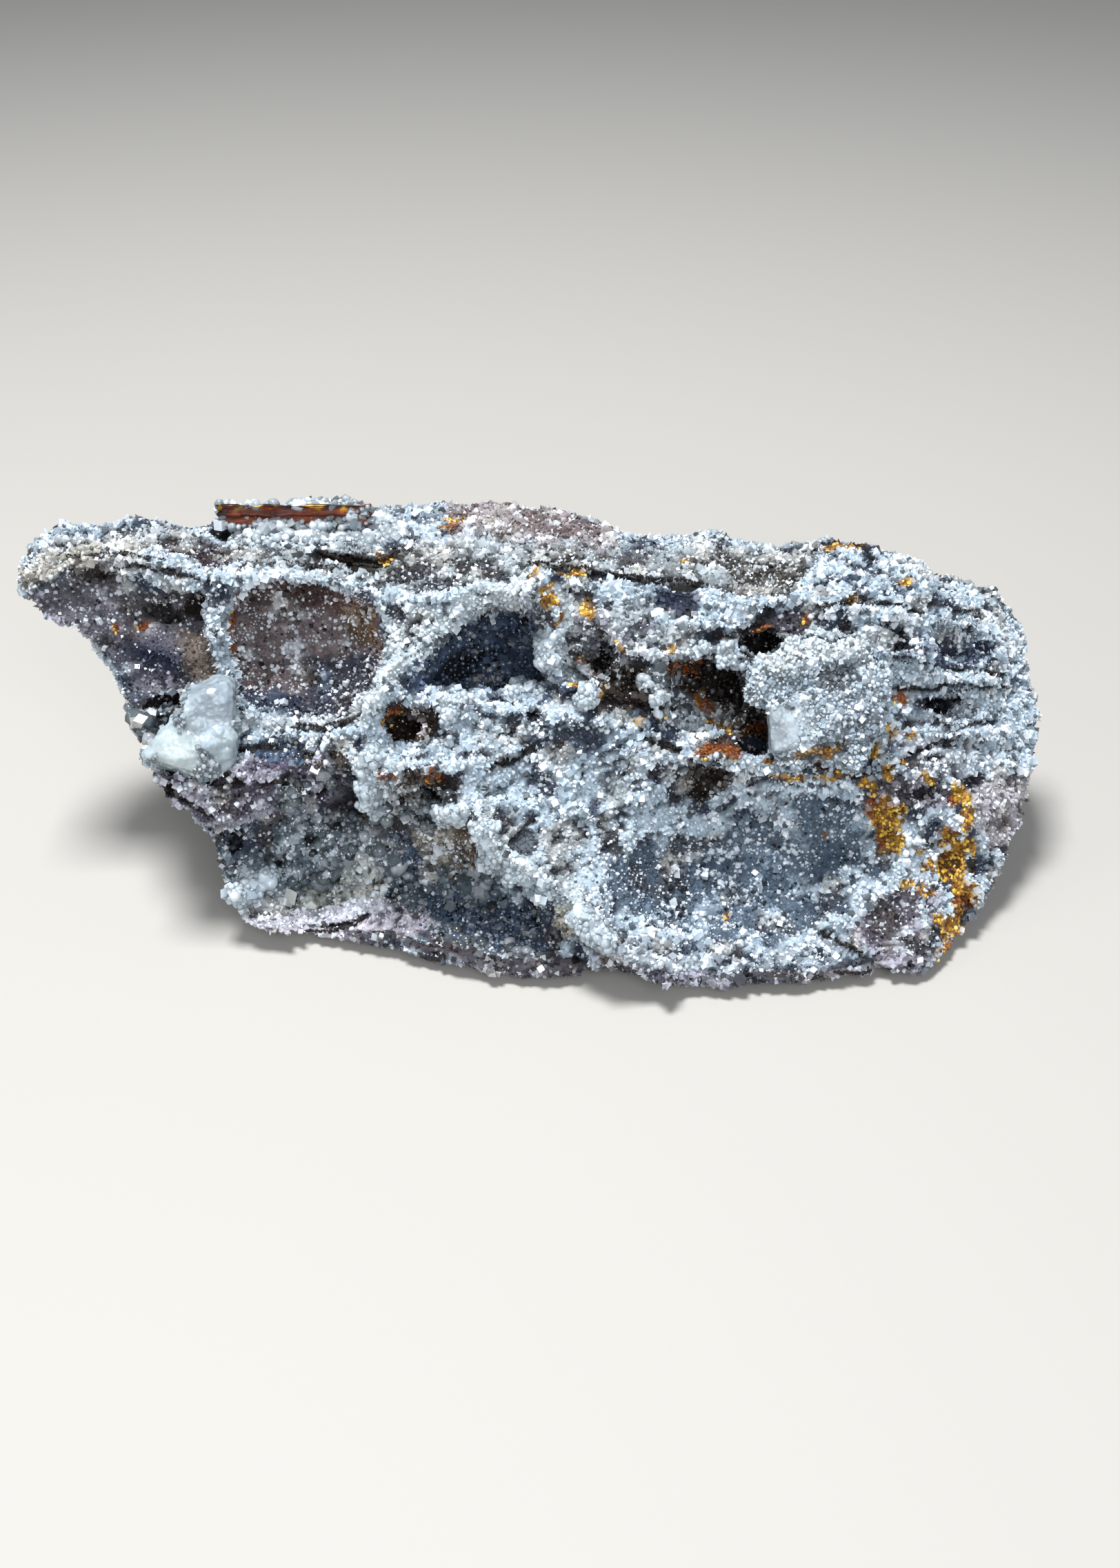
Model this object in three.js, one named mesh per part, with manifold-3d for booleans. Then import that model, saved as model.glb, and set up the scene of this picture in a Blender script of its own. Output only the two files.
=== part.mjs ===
// A hand specimen of calcite: a vuggy, layered block of rock grown over with sugary crystals,
// two milky crystal clusters on its display face and a plate of iron oxide on its top.
// Millimetres, +Z up, +X along the block, the display face towards -Y, the base on Z = 0.
// The origin is under the middle of the block.

import * as THREE from "three";
import { ImprovedNoise } from "three/addons/math/ImprovedNoise.js";
import { mergeVertices } from "three/addons/utils/BufferGeometryUtils.js";
import Module from "manifold-3d";

const wasm = await Module();
wasm.setup();
const noise = new ImprovedNoise();

// Driving dimensions.
// The display face leans back from upright, and is laid out flat as a viewer straight in front
// of it sees it, in three measures: across (to the right), up (along the lean) and out (towards
// the viewer). What stands further out looks larger, so it is drawn in towards the line of sight.
const FACE_LEAN = THREE.MathUtils.degToRad(34.5);
const VIEW_DISTANCE = 177.3;
const FACE_HEIGHT = 17.1;
const FACE_SETBACK = 11.8;
const MIDDLE_ACROSS = -1.6;
const MIDDLE_DEPTH = 23.3;
const JOINT_GAP = 0.3;
const SAME_POINT = 1e-4;

// The mesh of the block: stations along it, and points up its face, over its top and round its back.
const STATIONS = 56;
const FACE_POINTS = 21;
const TOP_POINTS = 6;
const BACK_POINTS = 11;
const UNDERSIDE_POINTS = 4;
const END_CROWDING = 0.06;
const END_BULGE = 0.8;

// Outline of the block as seen from the front: [across, up].
const LEFT_END = -55.7;
const RIGHT_END = 49.0;
const UPPER_EDGE = [
  [-55.7, 23.4], [-53.3, 25.1], [-47.0, 26.4], [-34.6, 25.4], [-31.0, 28.6], [-28.0, 29.3],
  [-20.0, 28.4], [-15.0, 28.9], [-7.9, 29.6], [1.3, 28.5], [4.1, 27.4], [6.2, 26.0], [13.0, 24.9],
  [24.6, 23.8], [26.3, 25.4], [28.6, 25.9], [31.9, 25.2], [33.6, 24.3], [36.9, 24.0],
  [38.4, 22.4], [42.2, 20.9], [46.0, 20.2], [46.8, 18.0], [48.6, 15.8], [49.0, 9.7],
];
const LOWER_EDGE = [
  [-55.7, 19.9], [-53.3, 16.7], [-49.1, 15.2], [-47.0, 12.6], [-44.7, 8.3], [-44.2, 4.9],
  [-42.2, 3.8], [-41.2, -1.9], [-38.8, -3.8], [-34.8, -5.6], [-33.9, -13.4], [-30.6, -15.9],
  [-25.7, -15.7], [-20.7, -16.9], [-12.2, -19.4], [-5.1, -20.4], [2.7, -20.8], [4.1, -19.9],
  [10.9, -21.6], [24.0, -21.4], [31.1, -20.0], [38.5, -20.2], [41.0, -17.2], [43.5, -14.0],
  [46.0, -8.7], [48.4, -3.6], [49.0, 1.5],
];
// The front rim of the top, above which the surface runs back: [across, up].
const RIM = [
  [-55.7, 22.0], [-47.0, 23.6], [-36.3, 21.8], [-25.7, 21.1], [-17.9, 20.4], [-15.0, 19.3],
  [-7.9, 21.1], [-0.9, 21.8], [13.3, 19.6], [20.4, 19.0], [27.5, 20.6], [33.9, 21.4],
  [41.7, 18.4], [49.0, 8.5],
];
// How far the top runs back behind that rim: [across, depth].
const TOP_DEPTH = [
  [-55.7, 3], [-47, 6], [-36, 8.5], [-29, 10.5], [-20, 12], [-8, 16], [4, 14], [8, 11], [33, 11],
  [42, 9], [49, 6],
];
// Plan of the back and height of the underside, over the front foot line: [across, size].
const BACK_LINE = [
  [-55.7, 31], [-50, 37], [-40, 43], [-25, 48], [-8, 49.5], [15, 47], [30, 44], [42, 39], [49, 34],
];
const UNDERSIDE = [
  [-55.7, 32], [-50, 27], [-44, 16], [-38, 8], [-33.5, -0.9], [39, -0.9], [43, 3], [46, 8], [49, 15],
];

// The back in section, from the crown down, in shares of its depth and of its drop.
const BACK_PROFILE = [[0, 0], [0.4, 0.04], [0.85, 0.2], [1, 0.45], [0.96, 0.8], [0.86, 1]];
const TOP_FALL = 1.15;
// The face turns away at its right end, and its lower left part stands back from the front foot line.
const RIGHT_ROUNDING = { from: 33, depth: 12, power: 1.8 };
const LEFT_SETBACK = { width: 24, from: 4, to: 13, depth: 4.4 };
// The worn base: everything under this level is cut off flat.
const GROUND = { side: 400, depth: 40 };

// Shallow forms of the display face: hollows with a depth, swells with a negative one.
const HOLLOWS = [
  { at: [-44.5, 14.6], half: [9.5, 7.6], turn: -25, depth: 3.2 },
  { at: [-42.7, 9.7], half: [4.2, 3.6], turn: 0, depth: 2.0 },
  { at: [-37.4, 17.4], half: [4.0, 2.0], turn: -15, depth: 1.8 },
  { at: [-26.7, 13.6], half: [8.6, 7.4], turn: -10, depth: 5.2 },
  { at: [-5.5, 13.8], half: [11.0, 5.6], turn: -6, depth: 3.5 },
  { at: [15.0, 8.4], half: [5.2, 5.4], turn: 0, depth: 2.5 },
  { at: [22.6, -8.2], half: [16.5, 10.2], turn: -8, depth: 5.6 },
  { at: [16.2, 0.4], half: [3.4, 2.2], turn: 10, depth: 1.8 },
  { at: [-20.5, -9.0], half: [15.5, 8.2], turn: -12, depth: 5.2 },
  { at: [-7.0, -13.2], half: [8.5, 5.4], turn: -38, depth: 4.6 },
  { at: [-13.5, -1.8], half: [5.0, 2.8], turn: 0, depth: 2.6 },
  { at: [35.0, 6.5], half: [7.5, 8.5], turn: 0, depth: 1.6 },
  { at: [38.0, -7.0], half: [4.2, 5.0], turn: 20, depth: 1.4 },
  { at: [16.0, 16.5], half: [9.0, 2.6], turn: -6, depth: 1.2 },
  { at: [-35.0, -1.2], half: [8.0, 3.2], turn: -6, depth: -1.4 },
  { at: [-25.0, -16.4], half: [10.0, 3.0], turn: -8, depth: -2.2 },
  { at: [31.0, -11.6], half: [5.0, 5.2], turn: 40, depth: -2.0 },
  { at: [13.0, -18.0], half: [10.0, 3.6], turn: 0, depth: -1.4 },
  { at: [30.5, 18.5], half: [6.0, 3.5], turn: -10, depth: -1.6 },
  { at: [-16.4, -5.6], half: [2.2, 3.4], turn: 8, depth: -2.8 },
  { at: [-24.4, -9.4], half: [3.0, 2.4], turn: 0, depth: -2.4 },
  { at: [44.0, -3.6], half: [4.0, 5.0], turn: 0, depth: -1.2 },
];

// Crests that stand out of the face, each a line with the half-width and height of its swell.
const CRESTS = [
  { line: [[-23.5, 5.5], [-17.9, 11.1], [-13.6, 15.4], [-7.9, 18.9], [1.3, 22.0]], half: 2.6, height: 2.4 },
  { line: [[-3.0, 20.4], [-1.6, 14.7], [0.6, 9.9], [4.1, 8.3]], half: 1.8, height: 3.4 },
  { line: [[-13.6, 0.5], [-7.9, -4.5], [-2.3, -8.7], [2.7, -14.4], [10.5, -20.8]], half: 2.7, height: 3.2 },
  {
    line: [[-41.3, 1.2], [-30.6, 1.9], [-23.5, 3.3], [-18.4, 0.2], [-15.0, 1.2], [-7.9, 1.9]],
    half: 1.9,
    height: 2.6,
  },
  { line: [[-17.2, 9.0], [-10.0, 7.0], [0.0, 5.0], [8.5, 4.2]], half: 2.4, height: 1.8 },
  { line: [[-34.0, 21.0], [-25.0, 20.6], [-18.5, 19.0]], half: 1.6, height: 1.4 },
  { line: [[-35.6, 20.0], [-34.8, 13.0], [-33.4, 8.0]], half: 1.5, height: 1.6 },
  { line: [[4.0, 18.6], [14.0, 15.4], [21.0, 15.6], [33.0, 14.4], [44.0, 11.0]], half: 1.7, height: 1.3 },
  { line: [[9.0, 10.6], [10.5, 5.0], [16.0, 2.8], [24.0, 2.2], [34.0, 1.0]], half: 1.6, height: 1.4 },
];

// Caves that undercut the face: [across, up, out] of the middle, half sizes and turn.
const CAVES = [
  { at: [-8.6, 13.9, -4.2], half: [7.6, 3.2, 6.0], turn: 24 },
  { at: [-5.0, 12.0, -4.4], half: [6.6, 2.7, 5.2], turn: -4 },
  { at: [-12.8, 11.4, -2.8], half: [3.4, 1.2, 3.8], turn: 22 },
  { at: [0.6, 10.0, -3.2], half: [3.4, 1.3, 4.0], turn: -38 },
  { at: [3.8, 12.2, -4.6], half: [3.4, 2.8, 4.6], turn: -40 },
  { at: [15.0, 9.2, -3.6], half: [3.9, 3.9, 5.6], turn: 10 },
  { at: [20.0, 4.6, -2.2], half: [1.7, 2.2, 4.0], turn: 0 },
  { at: [21.2, 14.2, -1.6], half: [2.7, 1.0, 3.4], turn: -5 },
  { at: [-15.4, 5.6, -1.2], half: [2.3, 1.7, 3.6], turn: 0 },
  { at: [-12.6, -1.9, -3.4], half: [4.2, 2.4, 4.2], turn: 0 },
  { at: [-22.5, -1.9, -3.2], half: [2.3, 2.4, 3.8], turn: 25 },
  { at: [-5.6, -12.2, -5.6], half: [5.2, 2.3, 3.6], turn: -42 },
  { at: [40.0, 14.8, -4.2], half: [4.2, 1.2, 2.6], turn: -14 },
  { at: [40.2, 8.2, -5.2], half: [3.6, 1.3, 3.2], turn: -4 },
  { at: [40.3, -6.6, -3.8], half: [1.6, 1.8, 2.6], turn: 0 },
  { at: [-36.8, 17.6, -2.0], half: [2.6, 1.2, 3.0], turn: -12 },
  { at: [-40.8, 6.0, -1.6], half: [2.4, 1.4, 3.0], turn: 10 },
];

// Milky crystals grown together: [across, up, out] of each one's middle, half sizes and turn.
const LEFT_CRYSTALS = [
  { at: [-36.2, 7.4, 1.8], half: [3.3, 3.1, 3.0], turn: 20 },
  { at: [-39.0, 3.6, 2.0], half: [3.0, 2.4, 2.8], turn: -15 },
  { at: [-36.0, 3.8, 1.6], half: [2.8, 2.4, 2.6], turn: 40 },
];
const RIGHT_CRYSTALS = [
  { at: [21.9, 10.6, 1.0], half: [2.6, 2.2, 2.4], turn: 10 },
  { at: [24.9, 12.0, 1.4], half: [2.8, 2.1, 2.6], turn: -20 },
  { at: [28.7, 12.2, 1.4], half: [2.9, 2.1, 2.5], turn: 15 },
  { at: [31.2, 9.8, 1.2], half: [2.3, 2.9, 2.5], turn: 0 },
  { at: [30.6, 6.4, 1.4], half: [2.6, 2.7, 2.6], turn: 30 },
  { at: [26.6, 7.2, 2.2], half: [3.0, 3.0, 2.9], turn: -10 },
  { at: [25.1, 4.2, 2.2], half: [2.8, 2.3, 2.9], turn: 5 },
  { at: [29.3, 3.6, 1.2], half: [2.7, 2.1, 2.4], turn: -25 },
];

// The iron oxide plate on the top: its outline from above, its thickness and its place.
const PLATE = {
  outline: [
    [-8.7, -1.5], [-6.0, -1.9], [-3.2, -1.4], [0.4, -2.0], [3.6, -1.5], [6.4, -1.8], [8.4, -1.0],
    [8.0, 1.4], [3.0, 2.0], [-2.5, 1.6], [-7.0, 2.1], [-9.0, 0.8],
  ],
  thickness: 2.8,
  at: [-27.2, 27.5, -8.8],
  tilt: 4,
};

const CAVE_WALL = { size: 0.9, height: 0.3 };
const CRYSTAL_BLOCK = { half: 0.88, corners: 1.95, slant: 0.26 };

// Small crystals fused to the block, along its crests, over its face and over its top and back.
const CREST_CRYSTALS = 20;
const FACE_CRYSTALS = 3;
const BACK_CRYSTALS = 3;
const CRYSTAL_SIZE = [1.4, 2.6];
const CRYSTAL_STRETCH = [0.7, 1.5];
const END_MARGIN = 3;
const EDGE_MARGIN = 0.07;
const BARE_BACK_POINTS = 4;
const SEED = 20;

// Roughness of the surface: broad swells, lumps, the points of the crystal crust, and rock layers.
const SWELL = { size: 9, height: 0.8, level: 3 };
const LUMP = { size: 3.4, height: 0.9, level: 40 };
const GRAIN = { size: 0.9, height: 0.9, level: 70 };
const SWAY = { size: 3.4, height: 0.9, level: 80 };
const BACK_SWELL = { size: 7, height: 2.2, level: 7 };
const LAYER = { rise: 6.5, dip: 0.08, depth: 2.0, slope: 0.8 };
const LEAST_HEIGHT = 1.4;

const materials = {
  druse: new THREE.MeshStandardMaterial({ name: "druse", color: 0x9fadc4, roughness: 0.5 }),
  milky: new THREE.MeshStandardMaterial({ name: "milky_calcite", color: 0xd9dfe2, roughness: 0.35 }),
  iron: new THREE.MeshStandardMaterial({ name: "iron_oxide", color: 0x5a2c14, roughness: 0.7 }),
};

// A repeatable run of numbers from 0 to 1.
function numbers(seed) {
  let state = seed;
  return () => {
    state = (Math.imul(state, 1664525) + 1013904223) >>> 0;
    return state / 4294967296;
  };
}

// The value at x of a line drawn through [x, y] points.
function along(points, x) {
  const last = points.length - 1;
  if (x <= points[0][0]) return points[0][1];
  if (x >= points[last][0]) return points[last][1];
  const i = points.findIndex((p) => p[0] > x);
  const [x0, y0] = points[i - 1];
  const [x1, y1] = points[i];
  return y0 + ((y1 - y0) * (x - x0)) / (x1 - x0);
}

// The point of the block that a place on the laid-out face stands for.
function place(across, up, out) {
  const nearer = 1 - out / VIEW_DISTANCE;
  const rise = up * nearer;
  return new THREE.Vector3(
    across * nearer - MIDDLE_ACROSS,
    FACE_SETBACK - MIDDLE_DEPTH + rise * Math.sin(FACE_LEAN) - out * Math.cos(FACE_LEAN),
    FACE_HEIGHT + rise * Math.cos(FACE_LEAN) + out * Math.sin(FACE_LEAN),
  );
}

// Turns the laid-out measures into directions of the block, for a solid made round its middle. One
// that is turned in the face is tipped out of it by the same angle.
function faceTurn(turn) {
  const angle = THREE.MathUtils.degToRad(turn);
  const lean = new THREE.Matrix4().makeRotationX(Math.PI / 2 - FACE_LEAN);
  const spin = new THREE.Matrix4().makeRotationZ(angle);
  return lean.multiply(spin).multiply(new THREE.Matrix4().makeRotationX(angle));
}

function lumps(x, y, z, { size, height }) {
  return height * noise.noise(x / size, y / size, z / size);
}

// The broken edges of the rock's layers, each standing out a little more than the one under it.
function layers(x, z) {
  const level = (z + LAYER.dip * x) / LAYER.rise;
  const share = level - Math.floor(level);
  const stands = share < LAYER.slope ? share / LAYER.slope : (1 - share) / (1 - LAYER.slope);
  return LAYER.depth * (stands - 0.5);
}

// A hollow's share of its depth at a place, 1 in the middle and 0 past its edge.
function hollowShare({ at, half, turn }, across, up) {
  const angle = THREE.MathUtils.degToRad(turn);
  const dx = across - at[0];
  const dy = up - at[1];
  const u = (dx * Math.cos(angle) + dy * Math.sin(angle)) / half[0];
  const v = (dy * Math.cos(angle) - dx * Math.sin(angle)) / half[1];
  const inside = 1 - u * u - v * v;
  return inside > 0 ? 1 - (1 - inside) ** 2 : 0;
}

// The distance from a place to a line of places.
function distanceTo(line, across, up) {
  let nearest = Infinity;
  for (let i = 1; i < line.length; i++) {
    const [x0, y0] = line[i - 1];
    const [x1, y1] = line[i];
    const run = (x1 - x0) ** 2 + (y1 - y0) ** 2;
    const share = THREE.MathUtils.clamp(((across - x0) * (x1 - x0) + (up - y0) * (y1 - y0)) / run, 0, 1);
    nearest = Math.min(nearest, Math.hypot(across - x0 - share * (x1 - x0), up - y0 - share * (y1 - y0)));
  }
  return nearest;
}

// How far out the visible surface stands at a place: the face, and the top running back above its rim.
function relief(across, up) {
  let out = 0;
  for (const rough of [SWELL, LUMP, GRAIN]) out += lumps(across, up, rough.level, rough);
  const rightEnd = (across - RIGHT_ROUNDING.from) / (RIGHT_END - RIGHT_ROUNDING.from);
  out -= RIGHT_ROUNDING.depth * Math.max(0, rightEnd) ** RIGHT_ROUNDING.power;
  out -= LEFT_SETBACK.depth * THREE.MathUtils.smoothstep(-across, 0, LEFT_SETBACK.width)
    * THREE.MathUtils.smoothstep(-up, LEFT_SETBACK.from, LEFT_SETBACK.to);
  for (const hollow of HOLLOWS) out -= hollow.depth * hollowShare(hollow, across, up);
  for (const crest of CRESTS) {
    const gap = distanceTo(crest.line, across, up) / crest.half;
    out += crest.height * Math.exp(-gap * gap);
  }
  const rim = along(RIM, across);
  const top = along(UPPER_EDGE, across);
  if (up > rim) out -= along(TOP_DEPTH, across) * ((up - rim) / (top - rim)) ** TOP_FALL;
  const ground = (LEAST_HEIGHT - FACE_HEIGHT - up * Math.cos(FACE_LEAN))
    / (Math.sin(FACE_LEAN) - (up * Math.cos(FACE_LEAN)) / VIEW_DISTANCE);
  return Math.max(out, ground);
}

// The places of one section up the face and over the top, closer together on the face.
function faceLevels(across) {
  const low = along(LOWER_EDGE, across);
  const rim = along(RIM, across);
  const high = along(UPPER_EDGE, across);
  const levels = [];
  for (let i = 0; i < FACE_POINTS; i++) levels.push(THREE.MathUtils.lerp(low, rim, i / FACE_POINTS));
  for (let i = 0; i < TOP_POINTS; i++) levels.push(THREE.MathUtils.lerp(rim, high, i / (TOP_POINTS - 1)));
  return levels;
}

// One closed section of the block: up the face, over the top, down the back and along the underside.
function section(across) {
  const ring = faceLevels(across).map((up) => {
    const sway = lumps(across, up, SWAY.level, SWAY);
    return place(across + sway, up, relief(across, up));
  });
  const foot = ring[0];
  const crown = ring[ring.length - 1];
  const backY = along(BACK_LINE, across) - MIDDLE_DEPTH;
  const under = along(UNDERSIDE, across);
  const drop = crown.z - under;
  const depth = backY - crown.y;
  const rows = BACK_PROFILE.map(([inward, down]) => (
    new THREE.Vector3(0, crown.y + inward * depth, crown.z - down * drop)));
  const back = new THREE.CatmullRomCurve3(rows, false, "centripetal");
  const heel = rows[rows.length - 1];
  const middle = new THREE.Vector3(0, (foot.y + backY) / 2, (crown.z + under) / 2);
  const last = BACK_POINTS + UNDERSIDE_POINTS;
  for (let i = 1; i <= last; i++) {
    const x = THREE.MathUtils.lerp(crown.x, foot.x, i / (last + 1));
    if (i <= BACK_POINTS) {
      const point = back.getPoint(i / BACK_POINTS);
      const away = point.clone().sub(middle).normalize();
      const swell = lumps(x, point.y, point.z, BACK_SWELL) + lumps(x, point.z, point.y, LUMP)
        + layers(x, point.z) + lumps(x, point.y, point.z, GRAIN);
      point.addScaledVector(away, swell * Math.min(1, i / 2));
      ring.push(new THREE.Vector3(x + lumps(point.y, point.z, x, LUMP), point.y, point.z));
    } else {
      const share = (i - BACK_POINTS) / (UNDERSIDE_POINTS + 1);
      const y = THREE.MathUtils.lerp(heel.y, foot.y, share);
      const level = THREE.MathUtils.lerp(under, Math.min(under, foot.z), share);
      ring.push(new THREE.Vector3(x, y, level + lumps(x, y, BACK_SWELL.level, BACK_SWELL)));
    }
  }
  return ring;
}

function solid(geometry) {
  geometry.deleteAttribute("normal");
  geometry.deleteAttribute("uv");
  const merged = mergeVertices(geometry, SAME_POINT);
  return new wasm.Manifold(
    new wasm.Mesh({
      numProp: 3,
      vertProperties: new Float32Array(merged.attributes.position.array),
      triVerts: new Uint32Array(merged.index.array),
    }),
  );
}

function geometryOf(made) {
  const mesh = made.getMesh();
  const geometry = new THREE.BufferGeometry();
  geometry.setAttribute("position", new THREE.BufferAttribute(mesh.vertProperties, 3));
  geometry.setIndex(new THREE.BufferAttribute(mesh.triVerts, 1));
  geometry.computeVertexNormals();
  return geometry;
}

// The sections joined into one closed surface, each four-sided patch cut on its shorter diagonal.
function block() {
  const rings = [];
  for (let i = 0; i <= STATIONS; i++) {
    const share = i / STATIONS - END_CROWDING * Math.sin((2 * Math.PI * i) / STATIONS);
    rings.push(section(THREE.MathUtils.lerp(LEFT_END, RIGHT_END, share)));
  }
  const count = rings[0].length;
  const points = rings.flat();
  const faces = [];
  for (let i = 0; i < STATIONS; i++) {
    for (let j = 0; j < count; j++) {
      const a = i * count + j;
      const b = i * count + ((j + 1) % count);
      const c = a + count;
      const d = b + count;
      if (points[a].distanceTo(points[d]) < points[b].distanceTo(points[c])) faces.push(a, c, d, a, d, b);
      else faces.push(a, c, b, b, c, d);
    }
  }
  for (const [start, outward] of [[0, -1], [STATIONS * count, 1]]) {
    const ring = points.slice(start, start + count);
    const middle = ring.reduce((sum, p) => sum.add(p), new THREE.Vector3()).divideScalar(count);
    middle.x += outward * END_BULGE;
    const hub = points.push(middle) - 1;
    for (let j = 0; j < count; j++) {
      const a = start + j;
      const b = start + ((j + 1) % count);
      if (outward < 0) faces.push(a, b, hub);
      else faces.push(b, a, hub);
    }
  }
  const geometry = new THREE.BufferGeometry().setFromPoints(points);
  geometry.setIndex(faces);
  return solid(geometry);
}

// Puts a shape of size 1 in the face: scaled to its half sizes, turned and moved to its place.
function setInFace(geometry, { at, half, turn }, grow) {
  geometry.scale(half[0] + grow, half[1] + grow, half[2] + grow);
  geometry.applyMatrix4(faceTurn(turn));
  const centre = place(...at);
  geometry.translate(centre.x, centre.y, centre.z);
  return solid(geometry);
}

// A cave is a ball with a wall of uneven lumps.
function cave(form) {
  const geometry = new THREE.IcosahedronGeometry(1, 1);
  const position = geometry.getAttribute("position");
  const point = new THREE.Vector3();
  for (let i = 0; i < position.count; i++) {
    point.fromBufferAttribute(position, i);
    point.multiplyScalar(1 + lumps(point.x + form.at[0], point.y + form.at[1], point.z, CAVE_WALL));
    position.setXYZ(i, point.x, point.y, point.z);
  }
  return setInFace(geometry, form, 0);
}

// A milky crystal is a slanting block with its corners cut off flat.
function blockCrystal() {
  const side = 2 * CRYSTAL_BLOCK.half;
  const cube = solid(new THREE.BoxGeometry(side, side, side));
  const corners = solid(new THREE.OctahedronGeometry(CRYSTAL_BLOCK.corners));
  const geometry = geometryOf(cube.intersect(corners));
  return geometry.applyMatrix4(new THREE.Matrix4().makeShear(0, 0, CRYSTAL_BLOCK.slant, 0, 0, 0));
}

function crystalCluster(list, grow) {
  return wasm.Manifold.union(list.map((form) => setInFace(blockCrystal(), form, grow)));
}

function ironPlate(grow) {
  const outline = new THREE.Shape(PLATE.outline.map(([x, y]) => {
    const reach = Math.hypot(x, y);
    return new THREE.Vector2(x * (1 + grow / reach), y * (1 + grow / reach));
  }));
  const thickness = PLATE.thickness + 2 * grow;
  const geometry = new THREE.ExtrudeGeometry(outline, { depth: thickness, bevelEnabled: false });
  geometry.translate(0, 0, -thickness / 2);
  geometry.rotateX(THREE.MathUtils.degToRad(PLATE.tilt));
  const centre = place(...PLATE.at);
  geometry.translate(centre.x, centre.y, centre.z);
  return solid(geometry);
}

// A calcite rhombohedron: a cube stood on a corner and pressed flat or drawn out along that line.
function rhombohedron(size, stretch, turn) {
  const geometry = new THREE.BoxGeometry(size, size, size);
  geometry.rotateZ(Math.PI / 4);
  geometry.rotateX(Math.acos(1 / Math.sqrt(3)));
  geometry.scale(1, 1, stretch);
  geometry.applyQuaternion(turn);
  return geometry;
}

function crystalAt(point, random) {
  const size = THREE.MathUtils.lerp(CRYSTAL_SIZE[0], CRYSTAL_SIZE[1], random() ** 2);
  const turn = new THREE.Quaternion().setFromEuler(
    new THREE.Euler(random() * Math.PI, random() * Math.PI, random() * Math.PI),
  );
  const geometry = rhombohedron(size, THREE.MathUtils.lerp(...CRYSTAL_STRETCH, random()), turn);
  geometry.translate(point.x, point.y, point.z);
  return solid(geometry);
}

// Places for the small crystals: along the crests, over the face, and over the top, back and ends.
function crystalPlaces(random) {
  const places = [];
  for (let i = 0; i < CREST_CRYSTALS; i++) {
    const { line, half } = CRESTS[i % CRESTS.length];
    const path = new THREE.CurvePath();
    for (let j = 1; j < line.length; j++) {
      path.add(new THREE.LineCurve(new THREE.Vector2(...line[j - 1]), new THREE.Vector2(...line[j])));
    }
    const spot = path.getPoint(random());
    const across = spot.x + half * (random() - 0.5);
    const up = spot.y + half * (random() - 0.5);
    places.push(place(across, up, relief(across, up)));
  }
  for (let i = 0; i < FACE_CRYSTALS; i++) {
    const across = THREE.MathUtils.lerp(LEFT_END + END_MARGIN, RIGHT_END - END_MARGIN, random());
    const share = THREE.MathUtils.lerp(EDGE_MARGIN, 1 - EDGE_MARGIN, random());
    const up = THREE.MathUtils.lerp(along(LOWER_EDGE, across), along(UPPER_EDGE, across), share);
    places.push(place(across, up, relief(across, up)));
  }
  for (let i = 0; i < BACK_CRYSTALS; i++) {
    const ring = section(THREE.MathUtils.lerp(LEFT_END + END_MARGIN, RIGHT_END - END_MARGIN, random()));
    const clothed = TOP_POINTS + BACK_POINTS - BARE_BACK_POINTS;
    places.push(ring[FACE_POINTS + Math.floor(random() * clothed)]);
  }
  return places;
}

function rock() {
  const random = numbers(SEED);
  let made = block();
  const crystals = crystalPlaces(random).map((point) => crystalAt(point, random));
  made = made.add(wasm.Manifold.union(crystals));
  made = made.subtract(wasm.Manifold.union(CAVES.map(cave)));
  made = made.subtract(crystalCluster(LEFT_CRYSTALS, JOINT_GAP));
  made = made.subtract(crystalCluster(RIGHT_CRYSTALS, JOINT_GAP));
  made = made.subtract(ironPlate(JOINT_GAP));
  const ground = new THREE.BoxGeometry(GROUND.side, GROUND.side, GROUND.depth);
  ground.translate(0, 0, -GROUND.depth / 2);
  made = made.subtract(solid(ground));
  return made.decompose().reduce((best, one) => (one.volume() > best.volume() ? one : best));
}

function piece(name, made, material) {
  const mesh = new THREE.Mesh(geometryOf(made), material);
  mesh.name = name;
  return mesh;
}

const specimen = new THREE.Group();
specimen.name = "calcite_specimen";
specimen.add(piece("rock", rock(), materials.druse));
specimen.add(piece("milky_crystal_left", crystalCluster(LEFT_CRYSTALS, 0), materials.milky));
specimen.add(piece("milky_crystals_right", crystalCluster(RIGHT_CRYSTALS, 0), materials.milky));
specimen.add(piece("iron_oxide_plate", ironPlate(0), materials.iron));

export default specimen;
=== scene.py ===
import math

import bmesh
import bpy
import numpy as np
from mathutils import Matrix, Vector
from mathutils.bvhtree import BVHTree


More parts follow.
